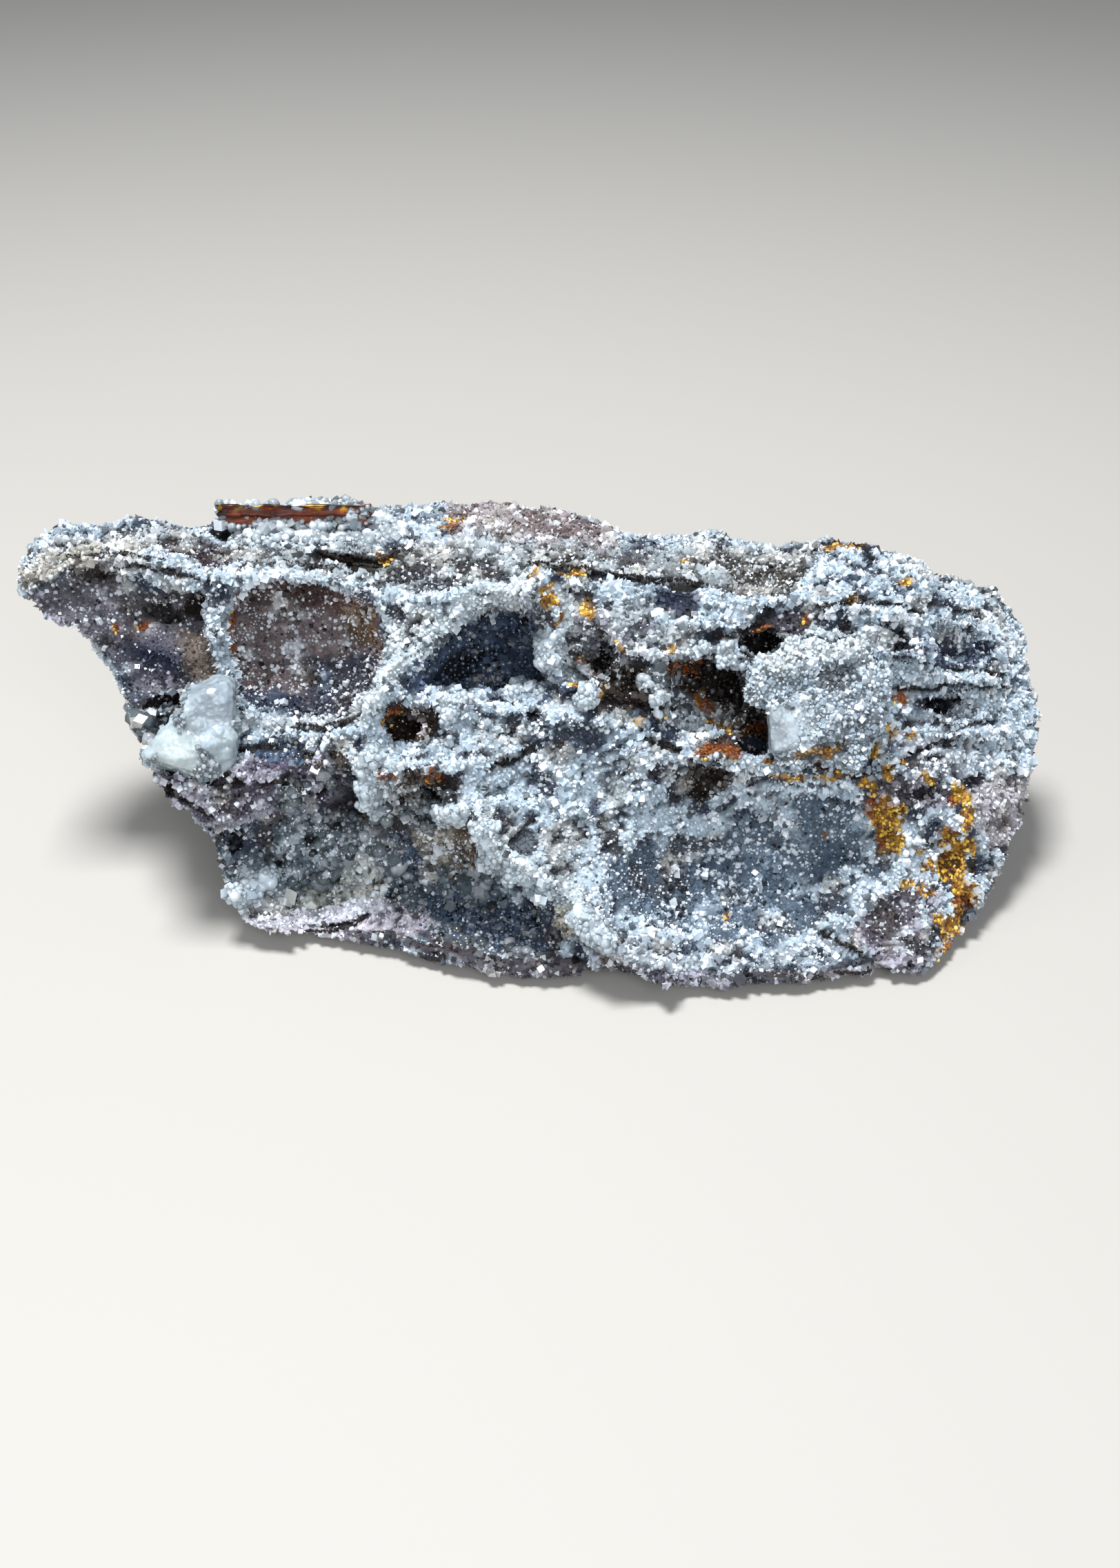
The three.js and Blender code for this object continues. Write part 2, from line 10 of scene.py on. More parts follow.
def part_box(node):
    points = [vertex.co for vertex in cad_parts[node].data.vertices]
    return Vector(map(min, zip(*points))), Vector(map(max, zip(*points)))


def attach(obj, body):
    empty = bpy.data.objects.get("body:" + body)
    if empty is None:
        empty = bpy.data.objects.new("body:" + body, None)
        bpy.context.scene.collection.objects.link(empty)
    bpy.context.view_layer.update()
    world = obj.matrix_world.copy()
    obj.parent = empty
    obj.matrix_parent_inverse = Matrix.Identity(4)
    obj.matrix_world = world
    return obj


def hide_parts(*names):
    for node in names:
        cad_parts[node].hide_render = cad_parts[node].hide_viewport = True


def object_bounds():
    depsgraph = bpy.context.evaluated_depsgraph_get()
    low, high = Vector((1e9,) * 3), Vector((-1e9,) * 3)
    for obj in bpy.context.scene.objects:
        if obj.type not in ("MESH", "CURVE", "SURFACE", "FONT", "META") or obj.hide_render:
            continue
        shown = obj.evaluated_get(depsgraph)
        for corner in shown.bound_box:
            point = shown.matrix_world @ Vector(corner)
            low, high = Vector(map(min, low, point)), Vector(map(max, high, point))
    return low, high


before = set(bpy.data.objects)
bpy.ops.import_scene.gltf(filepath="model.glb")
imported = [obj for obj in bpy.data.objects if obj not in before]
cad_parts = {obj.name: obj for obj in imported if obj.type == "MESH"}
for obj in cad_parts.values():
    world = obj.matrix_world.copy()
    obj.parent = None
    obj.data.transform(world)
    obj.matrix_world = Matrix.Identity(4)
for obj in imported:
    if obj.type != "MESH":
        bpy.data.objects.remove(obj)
cad_low, cad_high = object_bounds()

# The block of rock. A broken, layered lump of grey-blue and mauve calcite rock with caves and bowls,
# grown over by a thin crust that is thick and white on the ridges and thin in the hollows. It is
# one piece: the skin of the CAD block, worked over with the layers, pits, fissures and knobs.
MM = 0.001
FACE_LEAN = math.radians(34.5)
VIEW_DISTANCE = 177.3
FACE_MIDDLE = np.array([1.6, -11.5, 17.1])
TOWARDS_VIEWER = np.array([0.0, -math.cos(FACE_LEAN), math.sin(FACE_LEAN)])
UP_THE_FACE = np.array([0.0, math.sin(FACE_LEAN), math.cos(FACE_LEAN)])
# The drawing of the display face, seen from straight in front: units to the millimetre, and its middle.
DRAWN_SCALE = 14.1
DRAWN_MIDDLE = (812.0, 1137.0)
ROCK_VOXEL = 0.52
# The skin is drawn in by this room for the crystals and a little slack, in millimetres.
CRUST_ROOM = 0.45
CRUST_SLACK = 0.1
# How far behind the nearest place another still belongs to the front.
FRONT_DEPTH = 10.0
FOOT_THICKNESS = 1.7
LAYER_THICKNESS = 5.2
# The room that the skin keeps to the sides and the top of the block's box.
BOX_MARGIN = 0.3
# Two corners of the one place where the recess would break through the foot.
WORN_THROUGH = ((-6.6, -17.2, 0.0), (-0.6, -12.2, 1.7))
# The drawn height at which the knob on the top at the right is rounded off.
KNOB_TOP = 783
# The drawing is laid out in square bins to find what is in front of what.
BIN_START = (-60, 600)
BIN_SIZE = 10
BIN_COUNT = (180, 100)

BLUE_WHITE = (206, 225, 240)
MILK = (218, 231, 238)
GREY_WHITE = (188, 198, 204)
MAUVE_WHITE = (186, 182, 198)
BLUE_BLACK = (14, 19, 32)
BLUE_GREY = (54, 70, 94)
STEEL = (88, 106, 128)
BROWN_BLACK = (30, 24, 22)
FISSURE_BLACK = (8, 7, 8)
BROWN_GREY = (84, 74, 66)
WARM_GREY = (112, 108, 104)
LIMONITE = (214, 158, 26)
RUST = (132, 60, 6)

# Fields of the drawn face: outline, edge softness, ground, crust, share of crust, knobs, and the share
# of bright crystals among those on bare ground.
FIELDS = [
    ([(150, 755), (330, 785), (560, 785), (700, 775), (900, 785), (1100, 795), (1180, 800), (1170, 860),
      (1000, 848), (850, 815), (700, 828), (560, 845), (430, 832), (300, 812), (150, 785)],
     10, (92, 94, 98), GREY_WHITE, 0.66, 0.5, 0.3),
    ([(555, 812), (690, 808), (735, 822), (716, 846), (650, 878), (570, 850)],
     8, (66, 68, 76), GREY_WHITE, 0.24, 0.3, 0.3),
    ([(20, 830), (50, 796), (110, 780), (190, 786), (215, 812), (170, 824), (110, 826), (60, 846),
     (30, 856)],
     9, (92, 84, 78), (204, 200, 192), 0.74, 0.5, 0.3),
    ([(1050, 796), (1168, 800), (1172, 850), (1120, 862), (1055, 846)],
     8, (74, 72, 68), (160, 162, 160), 0.34, 0.2, 0.3),
    ([(222, 776), (300, 776), (346, 796), (344, 830), (290, 830), (236, 812)],
     8, (66, 54, 68), GREY_WHITE, 0.20, 0.2, 0.3),
    ([(150, 770), (222, 766), (226, 800), (214, 836), (150, 836)],
     8, (170, 172, 178), (222, 226, 230), 0.88, 0.3, 0.3),
    ([(640, 715), (760, 712), (890, 760), (895, 790), (780, 780), (650, 765)],
     8, (140, 124, 124), (176, 168, 172), 0.62, 0.6, 0.3),
    ([(38, 862), (75, 850), (112, 830), (152, 824), (178, 856), (204, 868), (250, 872), (296, 862),
      (304, 900), (314, 944), (330, 980), (300, 1000), (262, 1006), (214, 1002), (160, 978),
      (112, 940), (76, 908), (44, 886)],
     9, (128, 126, 138), MAUVE_WHITE, 0.06, 0.1, 0.34),
    ([(96, 826), (150, 820), (176, 846), (160, 858), (116, 848)],
     7, (58, 50, 48), WARM_GREY, 0.15, 0.1, 0.05),
    ([(176, 926), (236, 930), (272, 958), (262, 986), (210, 976), (176, 950)],
     14, (48, 54, 78), STEEL, 0.10, 0.1, 0.2),
    ([(250, 905), (306, 900), (324, 962), (304, 992), (268, 982)],
     10, (122, 110, 102), WARM_GREY, 0.12, 0.1, 0.06),
    ([(104, 930), (160, 944), (190, 976), (214, 1000), (170, 996), (130, 962)],
     8, (84, 92, 108), BLUE_WHITE, 0.42, 0.2, 0.4),
    ([(334, 868), (362, 854), (420, 848), (470, 852), (512, 870), (540, 896), (549, 930), (546, 962),
      (530, 992), (500, 1014), (460, 1024), (410, 1022), (370, 1008), (345, 984), (330, 950), (326, 906)],
     7, (152, 136, 138), (222, 222, 230), 0.16, 0.1, 0.56),
    ([(360, 856), (430, 850), (500, 868), (534, 896), (500, 902), (430, 880), (366, 884)],
     8, (112, 84, 84), (206, 200, 206), 0.10, 0.1, 0.3),
    ([(492, 880), (536, 896), (548, 934), (520, 940), (490, 916)],
     8, (142, 112, 86), (206, 190, 172), 0.16, 0.1, 0.4),
    ([(352, 990), (420, 994), (500, 990), (524, 1000), (484, 1030), (380, 1028)],
     9, (46, 56, 78), STEEL, 0.14, 0.2, 0.3),
    ([(500, 1056), (530, 1010), (556, 960), (572, 905), (610, 862), (680, 846), (760, 836), (784, 872),
      (712, 890), (660, 930), (606, 966), (580, 1000), (548, 1036), (520, 1058)],
     12, (104, 122, 140), (200, 217, 228), 0.88, 0.6, 0.3),
    ([(578, 982), (612, 950), (656, 926), (698, 884), (738, 878), (762, 890), (784, 912), (794, 940),
      (802, 974), (834, 1000), (860, 1030), (820, 1018), (740, 1006), (680, 1000), (620, 994)],
     4, (96, 116, 148), STEEL, 0.20, 0.3, 0.16),
    ([(786, 984), (850, 1002), (924, 1020), (960, 1030), (950, 1042), (900, 1036), (840, 1024),
     (786, 1006)],
     4, (40, 42, 48), STEEL, 0.16, 0.2, 0.12),
    ([(700, 858), (780, 850), (806, 880), (800, 936), (780, 926), (758, 896), (730, 878)],
     7, (124, 130, 144), GREY_WHITE, 0.62, 0.5, 0.3),
    ([(440, 952), (500, 946), (546, 948), (542, 990), (504, 1014), (440, 1016)],
     9, (66, 66, 80), STEEL, 0.08, 0.2, 0.3),
    ([(828, 950), (872, 958), (910, 962), (952, 964), (950, 992), (936, 1022), (900, 1026), (884, 1008),
      (892, 984), (848, 972)], 5, BROWN_BLACK, BROWN_GREY, 0.08, 0.2, 0.05),
    ([(850, 880), (930, 870), (1010, 880), (1040, 905), (1000, 940), (900, 950), (846, 930)],
     10, (112, 112, 126), GREY_WHITE, 0.64, 0.5, 0.3),
    ([(962, 962), (1000, 956), (1042, 964), (1072, 984), (1092, 1010), (1122, 1018), (1118, 1064),
      (1084, 1070), (1056, 1054), (1026, 1040), (1002, 1020), (982, 1000)],
     5, BROWN_BLACK, (54, 46, 44), 0.08, 0.2, 0.06),
    ([(944, 850), (1010, 850), (1012, 884), (950, 886)], 4, (58, 64, 84), STEEL, 0.18, 0.1, 0.1),
    ([(1066, 914), (1140, 912), (1136, 944), (1082, 948)], 5, BROWN_BLACK, BLUE_GREY, 0.08, 0.1, 0.05),
    ([(556, 1030), (596, 1026), (636, 1036), (632, 1068), (590, 1076), (560, 1066)],
     5, BROWN_BLACK, (90, 60, 44), 0.08, 0.2, 0.05),
    ([(404, 1048), (470, 1036), (524, 1036), (536, 1080), (480, 1092), (420, 1084)],
     8, (62, 68, 84), GREY_WHITE, 0.46, 0.3, 0.3),
    ([(984, 1008), (1040, 1008), (1074, 1036), (1060, 1048), (1020, 1044), (984, 1030)],
     5, (168, 164, 160), (214, 220, 224), 0.74, 0.3, 0.4),
    ([(1000, 1062), (1070, 1060), (1090, 1084), (1060, 1100), (1010, 1092)],
     6, (70, 48, 36), (140, 120, 104), 0.16, 0.3, 0.2),
    ([(1156, 1078), (1224, 1076), (1232, 1098), (1160, 1104)],
     5, (58, 48, 40), (150, 146, 140), 0.20, 0.3, 0.2),
    ([(720, 1146), (766, 1140), (784, 1170), (736, 1180)], 8, (88, 98, 114), GREY_WHITE, 0.50, 0.3, 0.3),
    ([(806, 1086), (850, 1086), (850, 1124), (812, 1124)], 8, (70, 80, 96), STEEL, 0.32, 0.3, 0.3),
    ([(1094, 896), (1130, 884), (1172, 886), (1176, 908), (1150, 926), (1100, 930)],
     6, (62, 58, 70), GREY_WHITE, 0.16, 0.3, 0.2),
    ([(1420, 916), (1462, 920), (1470, 948), (1424, 950)], 6, (84, 92, 114), STEEL, 0.30, 0.2, 0.3),
    ([(780, 1040), (860, 1040), (900, 1070), (870, 1106), (800, 1100), (770, 1070)],
     10, (66, 76, 92), STEEL, 0.34, 0.2, 0.2),
    ([(700, 1100), (790, 1096), (900, 1110), (960, 1150), (940, 1210), (860, 1220), (760, 1190),
     (700, 1150)],
     16, (80, 90, 110), BLUE_WHITE, 0.74, 0.4, 0.3),
    ([(866, 1128), (900, 1124), (920, 1146), (908, 1174), (876, 1172)],
     10, (98, 106, 120), GREY_WHITE, 0.54, 0.3, 0.3),
    ([(872, 1250), (910, 1228), (970, 1224), (1040, 1212), (1100, 1184), (1180, 1156), (1240, 1180),
      (1262, 1230), (1250, 1290), (1200, 1340), (1110, 1366), (1010, 1350), (930, 1320), (884, 1290)],
     12, (112, 132, 152), (172, 192, 210), 0.22, 0.1, 0.50),
    ([(890, 1256), (960, 1240), (1050, 1240), (1080, 1280), (1010, 1306), (920, 1300)],
     14, (94, 112, 132), STEEL, 0.14, 0.1, 0.48),
    ([(1176, 1240), (1260, 1220), (1330, 1210), (1300, 1290), (1236, 1344), (1176, 1352), (1150, 1310)],
     16, (92, 110, 132), BLUE_WHITE, 0.50, 0.3, 0.4),
    ([(1236, 1300), (1320, 1262), (1366, 1290), (1362, 1360), (1280, 1386), (1230, 1360)],
     12, (108, 102, 114), MAUVE_WHITE, 0.50, 0.3, 0.3),
    ([(850, 1356), (896, 1344), (944, 1384), (950, 1424), (884, 1426), (856, 1396)],
     9, (64, 60, 68), (150, 146, 154), 0.28, 0.4, 0.2),
    ([(992, 1116), (1036, 1108), (1064, 1124), (1054, 1150), (1020, 1166), (994, 1152)],
     6, (40, 36, 36), (110, 106, 102), 0.20, 0.2, 0.1),
    ([(330, 1190), (420, 1176), (520, 1150), (600, 1170), (680, 1230), (760, 1320), (800, 1392),
      (700, 1386), (600, 1340), (460, 1330), (352, 1322), (330, 1260)],
     10, (116, 130, 142), (190, 204, 214), 0.46, 0.7, 0.44),
    ([(470, 1132), (500, 1138), (522, 1158), (560, 1180), (590, 1200), (570, 1214), (520, 1190),
     (480, 1164)],
     7, (58, 52, 58), (96, 92, 98), 0.10, 0.3, 0.12),
    ([(374, 1086), (440, 1082), (502, 1088), (512, 1112), (508, 1136), (472, 1130), (430, 1110),
     (372, 1106)],
     6, (34, 36, 48), (110, 118, 132), 0.16, 0.4, 0.22),
    ([(579, 1131), (596, 1117), (611, 1113), (628, 1116), (646, 1126), (660, 1142), (674, 1156),
     (651, 1152),
      (628, 1155), (612, 1172), (590, 1160)], 4, (42, 30, 26), (84, 62, 54), 0.08, 0.3, 0.05),
    ([(590, 1180), (628, 1196), (668, 1200), (700, 1224), (716, 1266), (680, 1286), (620, 1262),
     (600, 1224)],
     8, (178, 174, 164), (206, 204, 194), 0.52, 0.3, 0.42),
    ([(592, 1150), (628, 1152), (672, 1154), (684, 1186), (640, 1200), (600, 1190)],
     6, (160, 160, 156), (208, 214, 214), 0.62, 0.3, 0.5),
    ([(650, 1206), (690, 1210), (694, 1250), (690, 1262), (656, 1240)],
     7, (104, 84, 68), (160, 150, 136), 0.24, 0.4, 0.3),
    ([(556, 1186), (588, 1196), (612, 1250), (604, 1290), (582, 1300), (574, 1256), (572, 1220)],
     8, (64, 72, 84), STEEL, 0.28, 0.6, 0.26),
    ([(498, 1246), (530, 1240), (556, 1262), (560, 1300), (500, 1312), (488, 1284)],
     7, (206, 212, 208), (226, 230, 226), 0.70, 0.3, 0.4),
    ([(404, 1286), (480, 1288), (520, 1306), (470, 1316), (410, 1312)],
     6, (172, 180, 172), (206, 214, 208), 0.40, 0.3, 0.4),
    ([(406, 1134), (438, 1130), (444, 1160), (442, 1180), (412, 1176)],
     6, (130, 142, 154), (176, 190, 202), 0.7, 0.6, 0.3),
    ([(336, 1266), (396, 1256), (408, 1286), (384, 1310), (340, 1312)],
     6, (190, 202, 212), (222, 232, 240), 0.9, 0.4, 0.4),
    ([(332, 1208), (380, 1206), (400, 1226), (380, 1240), (334, 1240)],
     6, (60, 70, 92), STEEL, 0.2, 0.5, 0.3),
    ([(600, 1290), (680, 1286), (780, 1320), (800, 1376), (720, 1382), (620, 1352)],
     10, (72, 88, 108), STEEL, 0.40, 0.7, 0.34),
    ([(620, 1350), (700, 1378), (800, 1392), (900, 1420), (860, 1440), (740, 1430), (620, 1392)],
     8, (104, 98, 110), MAUVE_WHITE, 0.44, 0.6, 0.3),
    ([(222, 1120), (300, 1100), (400, 1086), (470, 1100), (500, 1150), (460, 1176), (430, 1190),
     (330, 1206),
      (290, 1204), (240, 1180), (220, 1150)], 8, (104, 98, 118), (196, 196, 212), 0.46, 0.4, 0.2),
    ([(600, 1070), (700, 1062), (760, 1080), (740, 1110), (640, 1116), (560, 1110)],
     10, (66, 72, 86), GREY_WHITE, 0.70, 0.5, 0.2),
    ([(330, 1310), (460, 1318), (600, 1300), (640, 1340), (560, 1372), (440, 1384), (360, 1382)],
     8, (130, 124, 138), (226, 220, 234), 0.88, 0.5, 0.3),
    ([(1250, 850), (1480, 880), (1510, 1000), (1500, 1130), (1400, 1150), (1290, 1120), (1280, 980)],
     20, (112, 130, 154), BLUE_WHITE, 0.95, 0.6, 0.5),
    ([(1290, 930), (1340, 926), (1450, 950), (1430, 972), (1340, 960), (1296, 950)],
     6, (88, 102, 128), (170, 188, 208), 0.60, 0.2, 0.3),
    ([(1324, 1002), (1396, 1004), (1390, 1044), (1350, 1048), (1326, 1030)],
     6, (92, 106, 132), (176, 194, 214), 0.56, 0.2, 0.3),
    ([(1420, 1130), (1506, 1120), (1506, 1230), (1440, 1240), (1410, 1180)],
     10, (150, 140, 142), (204, 200, 208), 0.7, 0.4, 0.3),
    ([(1290, 1046), (1360, 1040), (1420, 1080), (1400, 1130), (1320, 1120)],
     12, (136, 138, 150), (214, 222, 232), 0.84, 0.4, 0.4),
    ([(1244, 1128), (1300, 1124), (1372, 1132), (1384, 1168), (1320, 1176), (1250, 1164)],
     9, (78, 74, 80), MAUVE_WHITE, 0.34, 0.4, 0.25),
    ([(802, 1318), (834, 1322), (844, 1350), (816, 1360), (800, 1340)],
     4, (176, 172, 146), (226, 222, 202), 0.9, 0.1, 0.3),
    ([(900, 1400), (1060, 1410), (1230, 1400), (1350, 1380), (1340, 1420), (1100, 1440), (920, 1436)],
     8, (96, 98, 114), MAUVE_WHITE, 0.50, 0.5, 0.3),
]

# Ridges, lips and ledges of the crust: line, half width, rise in millimetres, crust colour, share.
RIDGES = [
    ([(30, 832), (60, 806), (150, 792), (215, 800)], 11, 0.4, (200, 198, 190), 0.84),
    ([(215, 800), (300, 826), (450, 840), (560, 856), (604, 870), (700, 846)], 13, 0.5, BLUE_WHITE, 0.92),
    ([(538, 1028), (572, 974), (622, 926), (690, 880), (764, 854)], 18, 0.8, MILK, 0.95),
    ([(604, 962), (650, 930), (690, 902)], 8, 0.7, (206, 220, 230), 0.9),
    ([(858, 910), (870, 934), (884, 942)], 28, 3.2, (184, 184, 196), 0.8),
    ([(298, 866), (304, 910), (312, 950), (336, 990)], 10, 0.6, BLUE_WHITE, 0.86),
    ([(742, 816), (752, 846)], 9, 0.5, MILK, 0.9),
    ([(816, 876), (812, 910), (804, 940), (808, 966)], 14, 0.8, MILK, 0.97),
    ([(956, 894), (1020, 898), (1074, 902)], 12, 0.5, BLUE_WHITE, 0.9),
    ([(1150, 868), (1172, 844), (1186, 820)], 10, 0.4, BLUE_WHITE, 0.95),
    ([(1366, 1042), (1424, 1034)], 12, 0.3, BLUE_WHITE, 0.95),
    ([(566, 1012), (640, 1012), (700, 1020), (760, 1022), (800, 1036), (880, 1054)],
     14, 0.9, BLUE_WHITE, 0.92),
    ([(640, 1040), (660, 1010)], 14, 0.8, MILK, 0.95),
    ([(870, 950), (910, 942), (960, 948)], 6, 0.5, GREY_WHITE, 0.8),
    ([(960, 952), (1000, 944), (1060, 950), (1100, 966)], 11, 0.8, MILK, 0.92),
    ([(1110, 990), (1118, 940), (1180, 918), (1250, 930)], 10, 0.5, MILK, 0.92),
    ([(960, 970), (958, 1000), (984, 1028), (1014, 1056)], 15, 0.8, MILK, 0.93),
    ([(1020, 880), (1080, 872), (1130, 868)], 10, 0.5, BLUE_WHITE, 0.85),
    ([(672, 1120), (690, 1160), (702, 1196)], 14, 0.7, BLUE_WHITE, 0.90),
    ([(702, 1196), (714, 1230), (746, 1250), (794, 1270), (836, 1306), (864, 1338)], 21, 1.6, MILK, 0.98),
    ([(850, 1190), (862, 1240), (874, 1286), (884, 1336)], 14, 0.6, BLUE_WHITE, 0.9),
    ([(934, 1128), (952, 1166), (938, 1200), (910, 1216)], 18, 0.6, BLUE_WHITE, 0.86),
    ([(950, 1208), (1000, 1204), (1050, 1184), (1080, 1150)], 15, 0.5, BLUE_WHITE, 0.88),
    ([(776, 1110), (806, 1142), (826, 1176)], 15, 0.5, BLUE_WHITE, 0.92),
    ([(1110, 1160), (1150, 1190)], 16, 0.5, BLUE_WHITE, 0.86),
    ([(864, 1354), (900, 1386), (930, 1412)], 10, 0.9, (148, 144, 152), 0.44),
    ([(588, 1178), (630, 1200)], 5, 0.4, GREY_WHITE, 0.9),
    ([(346, 1070), (420, 1058), (480, 1054), (560, 1066)], 10, 0.4, BLUE_WHITE, 0.82),
    ([(520, 1098), (556, 1100)], 18, 0.9, MILK, 0.97),
    ([(540, 1104), (550, 1130), (540, 1158)], 17, 1.3, MILK, 0.98),
    ([(544, 1122), (584, 1104), (650, 1096), (720, 1104)], 8, 0.6, BLUE_WHITE, 0.88),
    ([(880, 1370), (960, 1392), (1100, 1398), (1220, 1368)], 12, 0.5, (180, 192, 202), 0.76),
    ([(1150, 1362), (1230, 1322), (1286, 1284), (1324, 1226)], 16, 0.7, BLUE_WHITE, 0.92),
    ([(1304, 1320), (1310, 1380)], 12, 0.5, (200, 204, 214), 0.8),
    ([(958, 1182), (1000, 1180), (1040, 1168)], 6, 0.5, BLUE_WHITE, 0.9),
    ([(980, 1098), (1040, 1110), (1100, 1126), (1150, 1128)], 5, 0.6, GREY_WHITE, 0.92),
    ([(340, 1340), (400, 1336), (500, 1328), (560, 1312)], 13, 0.7, (222, 222, 236), 0.94),
    ([(224, 1126), (280, 1160), (330, 1192)], 9, 0.4, MAUVE_WHITE, 0.8),
    ([(1300, 980), (1400, 990), (1480, 984)], 9, 0.6, BLUE_WHITE, 0.88),
    ([(1330, 1066), (1400, 1060), (1470, 1070)], 10, 0.5, BLUE_WHITE, 0.86),
    ([(486, 1036), (400, 1046), (350, 1040)], 9, 0.4, GREY_WHITE, 0.84),
    ([(330, 846), (340, 880), (336, 940), (344, 980)], 8, 0.5, BLUE_WHITE, 0.9),
    ([(554, 880), (578, 920), (574, 960), (560, 1000)], 11, 0.6, MILK, 0.95),
    ([(652, 1050), (664, 1074), (700, 1084), (760, 1088)], 9, 0.6, BLUE_WHITE, 0.9),
    ([(602, 1174), (630, 1172), (660, 1176)], 20, 2.6, (196, 204, 206), 0.8),
    ([(412, 1136), (426, 1156), (430, 1182)], 14, 0.9, (190, 204, 216), 0.85),
    ([(462, 1184), (482, 1208), (502, 1236)], 13, 1.0, (160, 176, 188), 0.6),
    ([(516, 1216), (544, 1236), (560, 1256)], 16, 0.9, (186, 196, 202), 0.8),
    ([(470, 1250), (480, 1270)], 10, 0.7, (176, 190, 198), 0.7),
    ([(350, 1292), (372, 1284), (396, 1270)], 16, 0.9, (220, 230, 238), 0.9),
    ([(560, 1080), (620, 1086), (680, 1110), (720, 1130)], 10, 0.5, BLUE_WHITE, 0.88),
    ([(880, 1086), (940, 1100), (980, 1100), (1040, 1092)], 9, 0.6, BLUE_WHITE, 0.88),
    ([(1090, 1110), (1180, 1146), (1240, 1150)], 8, 0.5, BLUE_WHITE, 0.88),
    ([(1240, 1116), (1300, 1110), (1360, 1120)], 7, 0.5, BLUE_WHITE, 0.84),
    ([(1300, 1240), (1340, 1300), (1340, 1340)], 8, 0.6, BLUE_WHITE, 0.88),
    ([(1180, 870), (1260, 880), (1360, 900), (1440, 910)], 9, 0.6, BLUE_WHITE, 0.9),
    ([(1290, 1046), (1340, 1062), (1400, 1064)], 8, 0.6, BLUE_WHITE, 0.9),
    ([(1320, 990), (1370, 1046), (1400, 1100)], 9, 0.4, BLUE_WHITE, 0.86),
    ([(1236, 938), (1300, 956), (1380, 972)], 12, 0.6, BLUE_WHITE, 0.94),
    ([(1196, 884), (1240, 892), (1290, 902)], 10, 0.5, BLUE_WHITE, 0.92),
    ([(1370, 1076), (1400, 1046), (1440, 1022)], 11, 0.5, BLUE_WHITE, 0.92),
    ([(700, 1034), (668, 1040), (650, 1056)], 9, 0.5, BLUE_WHITE, 0.9),
    ([(758, 1044), (790, 1064)], 10, 0.5, BLUE_WHITE, 0.86),
    ([(944, 1330), (990, 1362)], 12, 0.4, BLUE_WHITE, 0.86),
    ([(840, 848), (870, 856), (930, 864)], 12, 0.4, BLUE_WHITE, 0.92),
]

